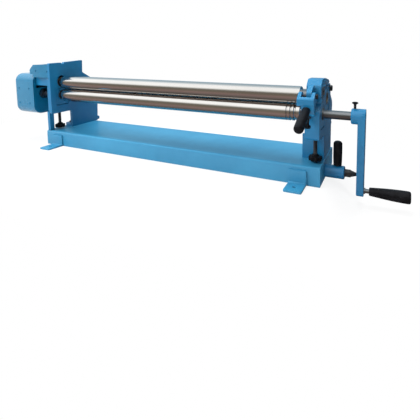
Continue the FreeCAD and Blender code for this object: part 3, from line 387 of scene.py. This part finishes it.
paints = {
    "baseEnamel": {"main": (0.036, 0.248, 0.430), "deep": (0.028, 0.212, 0.38),
                   "pale": (0.066, 0.30, 0.49), "rough": 0.38, "coat": 0.10, "skin": (260.0, 1.0),
                   "bump": (0.08, 0.00005)},
    "castingEnamel": {"main": (0.007, 0.160, 0.33), "deep": (0.005, 0.124, 0.275),
                      "pale": (0.026, 0.205, 0.38), "rough": 0.33, "coat": 0.22, "skin": (150.0, 2.0),
                      "bump": (0.22, 0.00022)},
    "coverEnamel": {"main": (0.003, 0.140, 0.265), "deep": (0.002, 0.120, 0.232),
                    "pale": (0.018, 0.175, 0.31), "rough": 0.27, "coat": 0.5, "skin": (260.0, 1.0),
                    "bump": (0.08, 0.00005)},
}
enamel = {"broad": 4.0, "deepRange": (0.35, 0.65), "fine": 38.0, "dustRange": (0.40, 0.80), "dust": 0.16,
          "chips": 160.0, "chipRange": (0.60, 0.66), "chipped": 0.55, "bareIron": (0.20, 0.195, 0.19),
          "roughRange": (0.3, 0.7), "smoother": 0.03, "rougher": 0.06, "coatRough": 0.10,
          "waves": 26.0, "waveHeight": 2.5}
wornEdge = {"radius": 0.0012, "samples": 4, "flat": 0.97, "sharp": 0.86}


def edgeMask(tree):
    # 1 along convex edges and 0 on flats, where a rounded normal leaves the plain one
    rounded = tree.nodes.new("ShaderNodeBevel")
    rounded.samples = wornEdge["samples"]
    rounded.inputs["Radius"].default_value = wornEdge["radius"]
    plain = tree.nodes.new("ShaderNodeNewGeometry")
    match = tree.nodes.new("ShaderNodeVectorMath")
    match.operation = "DOT_PRODUCT"
    tree.links.new(rounded.outputs[0], match.inputs[0])
    tree.links.new(plain.outputs["Normal"], match.inputs[1])
    return remap(tree, match.outputs["Value"], wornEdge["flat"], wornEdge["sharp"])


def enamelMaterial(name):
    paint = paints[name]
    material, tree, shader = newMaterial(name)
    coords = objectCoords(tree)
    broad = noise(tree, coords, enamel["broad"], 4.0)
    fine = noise(tree, coords, enamel["fine"])
    tone = mixColour(tree, remap(tree, broad, *enamel["deepRange"]), paint["main"], paint["deep"])
    dust = remap(tree, fine, *enamel["dustRange"], 0.0, enamel["dust"])
    dusted = mixColour(tree, dust, tone, paint["pale"])
    spots = noise(tree, coords, enamel["chips"], 4.0)
    chips = remap(tree, spots, *enamel["chipRange"], 0.0, enamel["chipped"])
    worn = combine(tree, "MULTIPLY", edgeMask(tree), chips)
    tree.links.new(mixColour(tree, worn, dusted, enamel["bareIron"]), shader.inputs["Base Color"])
    smoothest, roughest = paint["rough"] - enamel["smoother"], paint["rough"] + enamel["rougher"]
    rough = remap(tree, broad, *enamel["roughRange"], smoothest, roughest)
    tree.links.new(rough, shader.inputs["Roughness"])
    shader.inputs["Coat Weight"].default_value = paint["coat"]
    shader.inputs["Coat Roughness"].default_value = enamel["coatRough"]
    skin = noise(tree, coords, *paint["skin"])
    waves = combine(tree, "MULTIPLY", noise(tree, coords, enamel["waves"], 2.0), enamel["waveHeight"])
    bump(tree, shader, combine(tree, "ADD", skin, waves), *paint["bump"])
    return material


# bright steel of the rolls: ground bodies, and shafts and journals that are left as turned and given a
# darker colour that is partly painted shade

rollSteel = {"pale": (0.56, 0.55, 0.535), "dull": (0.48, 0.47, 0.455), "stains": (2.0, 14.0, 14.0),
             "stainRange": (0.35, 0.72), "stained": 0.05, "lines": (900.0, 3.0, 3.0), "rough": 0.11,
             # the dark shaft colour is partly rougher turned steel and partly painted shade on the
             # journals and shaft ends
             "rougher": 0.05, "bump": (0.12, 0.00002), "shaft": (0.20, 0.215, 0.225),
             "shaftRough": 0.20, "bodyEnds": (-0.646, 0.656), "fade": 0.001}


def rollMaterial(name):
    material, tree, shader = newMaterial(name)
    turnedLines = noise(tree, objectCoords(tree, rollSteel["lines"]), 1.0, 4.0, 0.6)
    stains = noise(tree, objectCoords(tree, rollSteel["stains"]), 1.0, 5.0)
    film = remap(tree, stains, *rollSteel["stainRange"])
    place = tree.nodes.new("ShaderNodeSeparateXYZ")
    tree.links.new(objectCoords(tree), place.inputs[0])
    low, high = rollSteel["bodyEnds"]
    # past the body ends the journals and shafts take the dark shaft colour, partly as painted shade
    asTurnedAndShaded = combine(tree, "MAXIMUM", remap(tree, place.outputs["X"], high, high + rollSteel["fade"]),
                       remap(tree, place.outputs["X"], low, low - rollSteel["fade"]))
    ground = mixColour(tree, film, rollSteel["pale"], rollSteel["dull"])
    tree.links.new(mixColour(tree, asTurnedAndShaded, ground, rollSteel["shaft"]), shader.inputs["Base Color"])
    shader.inputs["Metallic"].default_value = 1.0
    roughest = rollSteel["rough"] + rollSteel["rougher"]
    lines = remap(tree, turnedLines, 0.3, 0.7, rollSteel["rough"], roughest)
    dulled = combine(tree, "ADD", combine(tree, "MULTIPLY", film, rollSteel["stained"]),
                     combine(tree, "MULTIPLY", asTurnedAndShaded, rollSteel["shaftRough"]))
    tree.links.new(combine(tree, "ADD", lines, dulled), shader.inputs["Roughness"])
    bump(tree, shader, turnedLines, *rollSteel["bump"])
    return material


# iron and bronze of the bearings; the iron is coloured very dark, partly for oil and partly as painted
# shade, so that it reads as lying in shade

machined = {
    # very dark main and dull iron colours: partly oil, partly painted shade
    "oiledAndShadedIron": {"main": (0.045, 0.052, 0.068), "dull": (0.028, 0.033, 0.045), "rough": 0.38},
    "bushBronze": {"main": (0.36, 0.30, 0.22), "dull": (0.27, 0.22, 0.16), "rough": 0.34},
}
machinedSkin = {"grain": (160.0, 160.0, 160.0), "patches": 30.0, "patchRange": (0.35, 0.7),
                "rougher": 0.15, "bump": (0.2, 0.00006)}


def machinedMaterial(name):
    metal = machined[name]
    material, tree, shader = newMaterial(name)
    grain = noise(tree, objectCoords(tree, machinedSkin["grain"]), 1.0, 4.0)
    patches = noise(tree, objectCoords(tree), machinedSkin["patches"], 4.0)
    patchy = remap(tree, patches, *machinedSkin["patchRange"])
    tone = mixColour(tree, patchy, metal["main"], metal["dull"])
    tree.links.new(tone, shader.inputs["Base Color"])
    shader.inputs["Metallic"].default_value = 1.0
    rough = remap(tree, grain, 0.3, 0.7, metal["rough"], metal["rough"] + machinedSkin["rougher"])
    tree.links.new(rough, shader.inputs["Roughness"])
    bump(tree, shader, grain, *machinedSkin["bump"])
    return material


# black screws, and the black plastic of grips and knobs

blacks = {
    "blackOxide": {"main": (0.014, 0.014, 0.016), "handled": (0.03, 0.029, 0.029), "rough": 0.36,
                   "grain": 260.0, "depth": 0.00005, "shine": 0.45},
    "blackGripPlastic": {"main": (0.005, 0.005, 0.006), "handled": (0.010, 0.010, 0.012), "rough": 0.34,
                         "grain": 900.0, "depth": 0.00004, "shine": 0.10},
}
handled = {"scale": 45.0, "range": (0.4, 0.7), "smoother": 0.06, "rougher": 0.1, "bump": 0.3}


def blackMaterial(name):
    black = blacks[name]
    material, tree, shader = newMaterial(name)
    coords = objectCoords(tree)
    grain = noise(tree, coords, black["grain"])
    handling = noise(tree, coords, handled["scale"], 4.0)
    tone = mixColour(tree, remap(tree, handling, *handled["range"]), black["main"], black["handled"])
    tree.links.new(tone, shader.inputs["Base Color"])
    smoothest, roughest = black["rough"] - handled["smoother"], black["rough"] + handled["rougher"]
    rough = remap(tree, handling, 0.3, 0.7, smoothest, roughest)
    tree.links.new(rough, shader.inputs["Roughness"])
    shader.inputs["Specular IOR Level"].default_value = black["shine"]
    bump(tree, shader, grain, handled["bump"], black["depth"])
    return material


finishes = {
    "base_paint": enamelMaterial("baseEnamel"),
    "casting_paint": enamelMaterial("castingEnamel"),
    "cover_paint": enamelMaterial("coverEnamel"),
    "roll_steel": rollMaterial("rollSteel"),
    "black_steel": blackMaterial("blackOxide"),
    "black_plastic": blackMaterial("blackGripPlastic"),
    "block_iron": machinedMaterial("oiledAndShadedIron"),
    "bush_bronze": machinedMaterial("bushBronze"),
}
shownAs = {"tail_bracket": "casting_paint"}   # painted over, though it is steel
for nodeName, obj in nodes.items():
    for materialSlot in obj.material_slots:
        materialSlot.material = finishes[shownAs.get(nodeName, slotOf[nodeName])]
print("finishes set")


# softer edges on the castings and sheet

edgeRounds = {"right_frame": 2.2, "left_frame": 2.2, "latch_arm": 2.0, "latch_fork": 1.6,
              "front_post": 1.2, "crank_arm": 1.5, "tail_bracket": 1.0, "cover_carrier": 1.2,
              "base_channel": 1.0, "base_ends": 0.8, "half_bearing": 0.6}
for place in ("front", "rear"):
    for side in ("left", "right"):
        edgeRounds[place + "_block_" + side] = 0.5
        edgeRounds[place + "_foot_" + side] = 0.8
softening = {"weld": 0.02, "flatDegrees": 0.5, "segments": 2, "fromDegrees": 40}


def softenEdges(nodeName, width):
    obj = nodes[nodeName]
    weld = obj.modifiers.new("weld", "WELD")
    weld.merge_threshold = softening["weld"] * mm
    flat = obj.modifiers.new("flat", "DECIMATE")
    flat.decimate_type = "DISSOLVE"
    flat.angle_limit = math.radians(softening["flatDegrees"])
    rounding = obj.modifiers.new("rounding", "BEVEL")
    rounding.width = width * mm
    rounding.segments = softening["segments"]
    rounding.limit_method = "ANGLE"
    rounding.angle_limit = math.radians(softening["fromDegrees"])
    rounding.harden_normals = True


for nodeName, width in edgeRounds.items():
    softenEdges(nodeName, width)
print("edges softened")


# rolls

roll = {"radius": 34.0, "journal": 21.0, "tail": 17.0, "shaft": 16.5, "endRound": 2.0, "chamfer": 1.0,
        "grooves": (3.0, 4.0, 5.0), "groovePitch": 16.0, "grooveMargin": 21.0, "grooveEdge": 0.3,
        "grooveSteps": 12, "centreHole": 4.0, "centreDepth": 9.0, "centreTip": 0.3,
        "tailBegins": 30.0, "shaftBegins": 31.0}   # the last two from the middle of the bearing block


def grooveLevels(centre, width):
    radius, edge, steps = roll["radius"], roll["grooveEdge"], roll["grooveSteps"]
    levels = [(centre - width - edge, radius)]
    for i in range(steps + 1):
        turn = math.pi * i / steps
        levels.append((centre - width * math.cos(turn), radius - width * math.sin(turn)))
    return levels + [(centre + width + edge, radius)]


def rollShape(node, axisJoint, steps, grooved):
    # steps are (from, radius) along X; the body lies where the node is thicker than its journals
    start, way = alongX(axisJoint)
    corners = cornersOf(node)
    low, high = span(corners, start, way)
    between = (roll["journal"] + roll["radius"]) / 2
    thick = [corner for corner in corners if reach([corner], start, way) > between]
    bodyLow, bodyHigh = span(thick, start, way)
    radius, edge, chamfer = roll["radius"], roll["endRound"], roll["chamfer"]
    levels = [(low + roll["centreDepth"], roll["centreTip"]), (low, roll["centreHole"]),
              (low, steps[0][1] - chamfer), (low + chamfer, steps[0][1])]
    for place, stepRadius in steps[1:]:
        if place < bodyLow:
            levels += [(place, levels[-1][1]), (place, stepRadius)]
    levels += [(bodyLow, levels[-1][1]), (bodyLow, radius - edge), (bodyLow + edge, radius)]
    if grooved:
        nearest = bodyHigh - roll["grooveMargin"]
        for k, width in reversed(list(enumerate(reversed(roll["grooves"])))):
            levels += grooveLevels(nearest - k * roll["groovePitch"], width)
    levels += [(bodyHigh - edge, radius), (bodyHigh, radius - edge), (bodyHigh, roll["journal"])]
    for place, stepRadius in steps:
        if place > bodyHigh:
            levels += [(place, levels[-1][1]), (place, stepRadius)]
    last = levels[-1][1]
    levels += [(high - chamfer, last), (high, last - chamfer), (high, roll["centreHole"]),
               (high - roll["centreDepth"], roll["centreTip"])]
    return turned(levels, start, way, around["roll"])


def makeRolls():
    # the front roll's shaft changes size outside the gear side frame and outside the crank side frame
    leftBlock, rightBlock = (middleOf(cornersOf("front_block_" + side)).x for side in ("left", "right"))
    frontSteps = [(0.0, roll["tail"]), (leftBlock - roll["tailBegins"], roll["journal"]),
                  (rightBlock + roll["shaftBegins"], roll["shaft"])]
    plainSteps = [(0.0, roll["journal"])]
    makePiece("frontRoll", rollShape("front_roll", "front_roll_spin", frontSteps, True), "front_roll")
    makePiece("rearRoll", rollShape("rear_roll", "rear_roll_spin", plainSteps, True), "rear_roll")
    makePiece("topRoll", rollShape("top_roll", "top_roll_spin", plainSteps, False), "top_roll")
    print("rolls made")


# adjusting screws, knobs and nuts

lobes = {"front": 8, "rear": 6, "latch": 6, "thumb": 6}
nutHoles = {"lock": 7.0, "latch": 5.6, "bolt": 5.4}
rearNutsFrom = -40.0   # front lock nuts lie before this Y, rear ones behind it
# distances from the screw's point, and the radius and degrees of its rounding
latchTip = {"stem": 3.0, "root": 4.0, "neck": 2.2, "round": 2.0, "degrees": (0, 80)}


def makeKnob(name, node, start, way, lobeCount):
    low, high, radius = extent(cornersOf(node), start, way)
    makePiece(name, starKnob(radius, high - low, lobeCount, start + way * high, -way), node)


def makeAdjuster(side, place):
    start, way = axisOf(place + "_screw_turn_" + side)
    screw = place + "_screw_" + side
    low, high, radius = extent(cornersOf(screw), start, way)
    shape = thread(radius, "adjuster", low, high, start, way)
    makePiece(place + "Screw" + side.capitalize(), shape, screw, sharpFrom=threadSharp)
    makeKnob(place + "Knob" + side.capitalize(), place + "_knob_" + side, start, way, lobes[place])


def makeLatchScrew():
    start, way = axisOf("latch_screw_turn")
    low, high, radius = extent(cornersOf("latch_screw"), start, way)
    stem = thread(radius, "latch", low, high - latchTip["stem"], start, way)
    neck, rounding = high - latchTip["neck"], latchTip["round"]
    tip = turned([(high - latchTip["root"], radius - rounding), (neck, radius - rounding),
                  *arcLevels(neck, radius - 2 * rounding, rounding, *latchTip["degrees"])],
                 start, way, around["thread"])
    makePiece("latchScrew", joined(stem, tip), "latch_screw", sharpFrom=threadSharp)
    makeKnob("latchKnob", "latch_knob", start, way, lobes["latch"])
    low, high, radius = extent(cornersOf("latch_lock_nut"), start, way)
    nut = hexNut(acrossFlats(radius), nutHoles["latch"], low, high, start, way)
    makePiece("latchLockNut", nut, "latch_lock_nut")


def makeLockNuts():
    shapes = []
    for corners in islands("lock_nuts"):
        middle = middleOf(corners)
        way = Vector((0, 0, 1)) if middle.y < rearNutsFrom else axisOf("rear_screw_turn_left")[1]
        low, high, radius = extent(corners, middle, way)
        shapes.append(hexNut(acrossFlats(radius), nutHoles["lock"], low, high, middle, way))
    makePiece("lockNuts", joined(*shapes), "lock_nuts")


# bolts and cover screws

frameBolt = {"radius": 6.0, "plain": 5.9, "threaded": 14.0, "head": 6.0, "washer": 2.0,
             "washerRadius": 13.0, "washerEdge": (0.4, 0.5), "nutFrom": 2.0, "nutTo": 12.0}
hingeBolt = {"radius": 6.0, "across": 21.0, "head": 11.0, "nutAcross": 19.0, "nutFrom": 2.0, "nutTo": 12.0}
forkPin = {"radius": 5.0, "across": 16.0, "head": 7.0, "tip": 3.0}
coverScrew = {"rim": 1.2, "dome": 1.25, "domeDegrees": (38, 80), "socket": 1.9, "socketDepth": 1.6,
              "socketTip": 0.6}
sunk = 1.0   # how far one turned shape runs into the next


def makeFrameBolts():
    shapes = []
    way = Vector((0, 0, 1))
    rise, inset = frameBolt["washerEdge"]
    outer = frameBolt["washerRadius"]
    for corners in islands("frame_bolts"):
        middle = middleOf(corners)
        low, high, radius = extent(corners, middle, way)
        across = acrossFlats(radius)
        seat = high - frameBolt["head"]
        under = seat - frameBolt["washer"]
        nutLow, nutHigh = low + frameBolt["nutFrom"], low + frameBolt["nutTo"]
        washer = [(under, outer - inset), (under + rise, outer)]
        washer += [(seat - rise, outer), (seat, outer - inset)]
        plain = [(nutHigh, frameBolt["plain"]), (seat - sunk, frameBolt["plain"])]
        shapes += [thread(frameBolt["radius"], "bolt", low, low + frameBolt["threaded"], middle, way),
                   turned(plain, middle, way, around["shank"]),
                   turned(washer, middle, way, around["hexagon"]),
                   hexHead(across, seat, high, middle, way),
                   hexNut(across, nutHoles["bolt"], nutLow, nutHigh, middle, way)]
    makePiece("frameBolts", joined(*shapes), "frame_bolts")


def makeHingeBolt():
    start, way = alongX("latch_arm_swing")
    low, high = span(cornersOf("hinge_bolt"), start, way)
    radius, seat = hingeBolt["radius"], high - hingeBolt["head"]
    nutLow, nutHigh = low + hingeBolt["nutFrom"], low + hingeBolt["nutTo"]
    head = hexHead(hingeBolt["across"], seat, high, start, way)
    shank = turned([(nutLow, radius), (seat + sunk, radius)], start, way, around["shank"])
    tail = thread(radius, "bolt", low, nutHigh, start, way)
    nut = hexNut(hingeBolt["nutAcross"], nutHoles["bolt"], nutLow, nutHigh, start, way)
    makePiece("hingeBolt", joined(head, shank, tail, nut), "hinge_bolt")


def makeForkPin():
    start, way = alongX("latch_fork_swing")
    low, high = span(cornersOf("fork_pin"), start, way)
    radius, across, deep = forkPin["radius"], forkPin["across"], forkPin["head"]
    head = hexHead(across, high - deep, high, start, way)
    plain = [(low + forkPin["tip"], radius), (high - deep + sunk, radius)]
    shank = turned(plain, start, way, around["shank"])
    nut = hexHead(across, -(low + deep), -low, start, -way)
    makePiece("forkPin", joined(head, shank, nut), "fork_pin")


def makeCoverScrews():
    shapes = []
    way = Vector((0, -1, 0))
    for corners in islands("cover_screws"):
        middle = middleOf(corners)
        low, high, radius = extent(corners, middle, way)
        dome = radius * coverScrew["dome"]
        levels = [(low, radius), (low + coverScrew["rim"], radius),
                  *arcLevels(high - dome, 0.0, dome, *coverScrew["domeDegrees"]),
                  (high, coverScrew["socket"]),
                  (high - coverScrew["socketDepth"], coverScrew["socketTip"])]
        shapes.append(turned(levels, middle, way, around["shank"]))
    makePiece("coverScrews", joined(*shapes), "cover_screws", finish=finishes["cover_paint"])


def makeFasteners():
    for side in ("left", "right"):
        makeAdjuster(side, "front")
        makeAdjuster(side, "rear")
    makeLatchScrew()
    makeLockNuts()
    makeFrameBolts()
    makeHingeBolt()
    makeForkPin()
    makeCoverScrews()
    print("fasteners made")


# hand grips: (along, radius), and for the lever (along, below the full radius) from either end

grips = {
    "crank": [(0.0, 12.0), (0.5, 13.6), (2.0, 14.6), (10.0, 15.6), (26.0, 17.0), (48.0, 18.9),
              (74.0, 20.7), (100.0, 21.8), (122.0, 22.2), (131.0, 21.9), (135.6, 20.4), (137.6, 17.0),
              (138.0, 10.0)],
    "crankBore": [(1.5, 8.6), (0.0, 8.8)],
    "latch": [(0.0, 14.0), (1.0, 15.4), (5.0, 15.7), (16.0, 16.0), (36.0, 16.9), (62.0, 17.5),
              (97.0, 17.4), (116.0, 17.0), (122.5, 15.2), (125.4, 11.8), (126.0, 8.0)],
    "latchLean": 69.0,
    "leverBore": 7.2,
    "leverFoot": [(0.0, 3.0), (0.8, 1.6), (4.0, 1.0)],
    "leverBelly": 0.4,
    "leverTop": [(14.0, 0.2), (6.0, 1.6), (2.0, 5.0), (0.0, 9.0)],
}


def makeCrankGrip():
    start, way = axisOf("crank_handle_spin")
    low = span(cornersOf("crank_grip"), start, way)[0]
    levels = grips["crankBore"] + smoothLevels(grips["crank"])
    makePiece("crankGrip", turned(levels, start + way * low, way, around["grip"]), "crank_grip")


def makeLatchGrip():
    lean = math.radians(grips["latchLean"])
    way = Vector((0.0, -math.sin(lean), -math.cos(lean)))
    corners = cornersOf("latch_grip")
    start = middleOf(corners)
    low = span(corners, start, way)[0]
    shape = turned(smoothLevels(grips["latch"]), start + way * low, way, around["grip"])
    makePiece("latchGrip", shape, "latch_grip")


def makeLeverGrip():
    way = Vector((0, 0, 1))
    corners = cornersOf("lever_grip")
    start = middleOf(corners)
    low, high, radius = extent(corners, start, way)
    height = high - low
    stations = [(0.0, grips["leverBore"])]
    stations += [(up, radius - inset) for up, inset in grips["leverFoot"]]
    stations.append((height * grips["leverBelly"], radius))
    stations += [(height - down, radius - inset) for down, inset in grips["leverTop"]]
    shape = turned(smoothLevels(stations), start + way * low, way, around["grip"])
    makePiece("leverGrip", shape, "lever_grip")


# star head on a threaded stem, above the crank hub

thumbScrew = {"height": 10.0, "share": 0.80, "stem": 5.0, "sunk": 2.0}


def makeThumbScrew():
    way = Vector((0, 0, 1))
    corners = cornersOf("thumb_screw")
    middle = middleOf(corners)
    low, high, radius = extent(corners, middle, way)
    under = high - thumbScrew["height"]
    stem = thread(thumbScrew["stem"], "thumb", low, under + thumbScrew["sunk"], middle, way)
    head = starKnob(radius * thumbScrew["share"], thumbScrew["height"], lobes["thumb"],
                    middle + way * under, way)
    makePiece("thumbStem", stem, "thumb_screw", sharpFrom=threadSharp, replaced=False)
    makePiece("thumbHead", head, "thumb_screw", finish=finishes["black_plastic"])
    print("thumb screw made")


makeRolls()
makeFasteners()
makeCrankGrip()
makeLatchGrip()
makeLeverGrip()
print("grips made")
makeThumbScrew()


# studio

studio = {"floorReach": 30.0, "floor": (0.95, 0.95, 0.95), "floorRough": 0.9, "whiteFrom": 0.30,
          "whiteBy": 0.75, "leastWhite": 0.82, "alongSquash": 0.5, "benchEnd": 0.755, "dip": 0.14,
          "drop": 0.06, "dipSteps": 12, "worldTint": (0.93, 0.96, 1.0), "worldLight": 0.42}
white = (1.0, 1.0, 1.0)


def emission(tree, colour, strength=1.0):
    glow = tree.nodes.new("ShaderNodeEmission")
    glow.inputs["Color"].default_value = (*colour, 1.0)
    glow.inputs["Strength"].default_value = strength
    return glow


def whitenFar(tree, shader):
    # the floor keeps a faint shadow, and fades to the plain white of the background away from the machine
    squashed = objectCoords(tree, (studio["alongSquash"], 1.0, 1.0))
    length = tree.nodes.new("ShaderNodeVectorMath")
    length.operation = "LENGTH"
    tree.links.new(squashed, length.inputs[0])
    away = length.outputs["Value"]
    far = remap(tree, away, studio["whiteFrom"], studio["whiteBy"], studio["leastWhite"])
    path = tree.nodes.new("ShaderNodeLightPath")
    seen = combine(tree, "MULTIPLY", far, path.outputs["Is Camera Ray"])
    mix = tree.nodes.new("ShaderNodeMixShader")
    tree.links.new(seen, mix.inputs[0])
    tree.links.new(shader.outputs[0], mix.inputs[1])
    tree.links.new(emission(tree, white).outputs[0], mix.inputs[2])
    return mix


def floorMaterial():
    material, tree, shader = newMaterial("paleFloor")
    shader.inputs["Base Color"].default_value = (*studio["floor"], 1.0)
    shader.inputs["Roughness"].default_value = studio["floorRough"]
    out = [node for node in tree.nodes if node.type == "OUTPUT_MATERIAL"][0]
    tree.links.new(whitenFar(tree, shader).outputs[0], out.inputs[0])
    return material


def floorHeight(x):
    # the bench ends just past the feet, so that the crank can hang below them
    along = min(max((x - studio["benchEnd"]) / studio["dip"], 0.0), 1.0)
    return -studio["drop"] * along * along * (3 - 2 * along)


def stageMesh(name, points, faces, material):
    mesh = bpy.data.meshes.new(name)
    mesh.from_pydata(points, [], faces)
    mesh.materials.append(material)
    for face in mesh.polygons:
        face.use_smooth = True
    obj = bpy.data.objects.new(name, mesh)
    bpy.context.scene.collection.objects.link(obj)
    return obj


def makeFloor():
    far = studio["floorReach"]
    steps = studio["dipSteps"]
    lines = [-far, *[studio["benchEnd"] + studio["dip"] * i / steps for i in range(steps + 1)], far]
    points = [(x, y, floorHeight(x)) for x in lines for y in (-far, far)]
    faces = [(2 * i, 2 * i + 2, 2 * i + 3, 2 * i + 1) for i in range(len(lines) - 1)]
    floor = stageMesh("floor", points, faces, floorMaterial())
    floor.visible_glossy = False


def makeWorld():
    world = bpy.data.worlds.new("studioWorld")
    world.use_nodes = True
    tree = world.node_tree
    tree.nodes.clear()
    out = tree.nodes.new("ShaderNodeOutputWorld")
    light = tree.nodes.new("ShaderNodeBackground")
    light.inputs["Color"].default_value = (*studio["worldTint"], 1.0)
    light.inputs["Strength"].default_value = studio["worldLight"]
    shownWhite = tree.nodes.new("ShaderNodeBackground")
    shownWhite.inputs["Color"].default_value = (*white, 1.0)
    mix = tree.nodes.new("ShaderNodeMixShader")
    path = tree.nodes.new("ShaderNodeLightPath")
    shown = combine(tree, "MAXIMUM", path.outputs["Is Camera Ray"], path.outputs["Is Glossy Ray"])
    tree.links.new(shown, mix.inputs[0])
    tree.links.new(light.outputs[0], mix.inputs[1])
    tree.links.new(shownWhite.outputs[0], mix.inputs[2])
    tree.links.new(mix.outputs[0], out.inputs[0])
    bpy.context.scene.world = world


# a round card that only reflections see: dark under the machine, brown in front of it, a white band above
# and grey behind; each stop is an angle up from the front, in degrees, with its colour

card = {"radius": 6.0, "halfWidth": 9.0, "from": -180.0, "to": 180.0, "faces": 72, "strength": 1.75,
        "stops": ((-180, (0.07, 0.09, 0.115)), (-158, (0.02, 0.022, 0.03)), (-90, (0.02, 0.02, 0.022)),
                  (-66, (0.12, 0.10, 0.09)), (-32, (0.22, 0.15, 0.135)), (-4, (0.145, 0.12, 0.092)),
                  (17, (0.15, 0.135, 0.115)), (28, (0.56, 0.56, 0.53)), (40, white),
                  (82, white), (96, (0.56, 0.65, 0.70)), (120, (0.36, 0.43, 0.47)),
                  (152, (0.26, 0.38, 0.47)), (180, (0.07, 0.09, 0.115)))}
endCard = {"colour": (0.055, 0.075, 0.105), "at": 2.6, "reach": 4.5, "low": -1.5}


def glowingMaterial(name):
    material = bpy.data.materials.new(name)
    material.use_nodes = True
    tree = material.node_tree
    tree.nodes.clear()
    return material, tree, tree.nodes.new("ShaderNodeOutputMaterial")


def cardMaterial():
    material, tree, out = glowingMaterial("reflectionCard")
    glow = emission(tree, white, card["strength"])
    parts = tree.nodes.new("ShaderNodeSeparateXYZ")
    tree.links.new(objectCoords(tree), parts.inputs[0])
    front = combine(tree, "MULTIPLY", parts.outputs["Y"], -1.0)
    angle = combine(tree, "ARCTAN2", parts.outputs["Z"], front)
    along = remap(tree, angle, math.radians(card["from"]), math.radians(card["to"]))
    ramp = tree.nodes.new("ShaderNodeValToRGB")
    elements = ramp.color_ramp.elements
    while len(elements) < len(card["stops"]):
        elements.new(0.5)
    for element, (degrees, colour) in zip(elements, card["stops"]):
        element.position = (degrees - card["from"]) / (card["to"] - card["from"])
        element.color = (*colour, 1.0)
    tree.links.new(along, ramp.inputs[0])
    tree.links.new(ramp.outputs[0], glow.inputs["Color"])
    tree.links.new(glow.outputs[0], out.inputs[0])
    return material


def endCardMaterial():
    material, tree, out = glowingMaterial("endCard")
    tree.links.new(emission(tree, endCard["colour"]).outputs[0], out.inputs[0])
    return material


def hideFromCamera(obj, diffuse=False):
    obj.visible_camera = False
    obj.visible_diffuse = diffuse
    obj.visible_shadow = False
    obj.visible_transmission = False


def makeCards():
    points = []
    for i in range(card["faces"] + 1):
        angle = math.radians(card["from"] + (card["to"] - card["from"]) * i / card["faces"])
        y, z = -card["radius"] * math.cos(angle), card["radius"] * math.sin(angle)
        points += [(-card["halfWidth"], y, z), (card["halfWidth"], y, z)]
    faces = [(2 * i, 2 * i + 1, 2 * i + 3, 2 * i + 2) for i in range(card["faces"])]
    hideFromCamera(stageMesh("reflectionCard", points, faces, cardMaterial()))
    # the dark end stands off the crank end, so that the faces that look along the rolls stay deep blue
    x, far, low = endCard["at"], endCard["reach"], endCard["low"]
    points = [(x, -far, low), (x, far, low), (x, far, far), (x, -far, far)]
    hideFromCamera(stageMesh("endCard", points, [(0, 1, 2, 3)], endCardMaterial()), diffuse=True)


lamps = {
    "keyLamp": {"at": (-2.4, -2.6, 3.0), "aim": (0.0, 0.0, 0.2), "size": (2.4, 2.0), "power": 168.0},
    "fillLamp": {"at": (0.9, -3.6, 0.9), "aim": (0.3, 0.0, 0.2), "size": (1.6, 1.6), "power": 22.0},
    "topLamp": {"at": (-0.3, 0.5, 3.4), "aim": (0.0, 0.0, 0.2), "size": (3.4, 1.4), "power": 190.0},
}


def makeLamps():
    for name, lamp in lamps.items():
        data = bpy.data.lights.new(name, "AREA")
        data.shape = "RECTANGLE"
        data.size, data.size_y = lamp["size"]
        data.energy = lamp["power"]
        obj = bpy.data.objects.new(name, data)
        obj.location = lamp["at"]
        aim = Vector(lamp["aim"]) - Vector(lamp["at"])
        obj.rotation_euler = aim.to_track_quat("-Z", "Y").to_euler()
        obj.visible_glossy = False
        bpy.context.scene.collection.objects.link(obj)


cameraView = {"at": (0.9667, -1.4099, 0.5415), "yaw": 24.82, "pitch": -5.7, "roll": -0.57,
              "lens": 29.58, "sensor": 36.0, "shiftX": -0.0517, "shiftY": -0.315, "clipEnd": 100.0}


def makeCamera():
    data = bpy.data.cameras.new("camera")
    data.sensor_width = cameraView["sensor"]
    data.sensor_fit = "HORIZONTAL"
    data.lens = cameraView["lens"]
    data.shift_x = cameraView["shiftX"]
    data.shift_y = cameraView["shiftY"]
    data.clip_end = cameraView["clipEnd"]
    obj = bpy.data.objects.new("camera", data)
    yaw, pitch, tilt = (math.radians(cameraView[name]) for name in ("yaw", "pitch", "roll"))
    forward = Vector((-math.sin(yaw) * math.cos(pitch), math.cos(yaw) * math.cos(pitch), math.sin(pitch)))
    right = Vector((math.cos(yaw), math.sin(yaw), 0.0))
    up = right.cross(forward)
    tiltedRight = right * math.cos(tilt) + up * math.sin(tilt)
    tiltedUp = up * math.cos(tilt) - right * math.sin(tilt)
    turn = Matrix((tiltedRight, tiltedUp, -forward)).transposed().to_4x4()
    obj.matrix_world = Matrix.Translation(Vector(cameraView["at"])) @ turn
    bpy.context.scene.collection.objects.link(obj)
    bpy.context.scene.camera = obj


makeFloor()
makeWorld()
makeCards()
makeLamps()
makeCamera()
bpy.context.scene.view_settings.view_transform = "Standard"
print("studio ready")
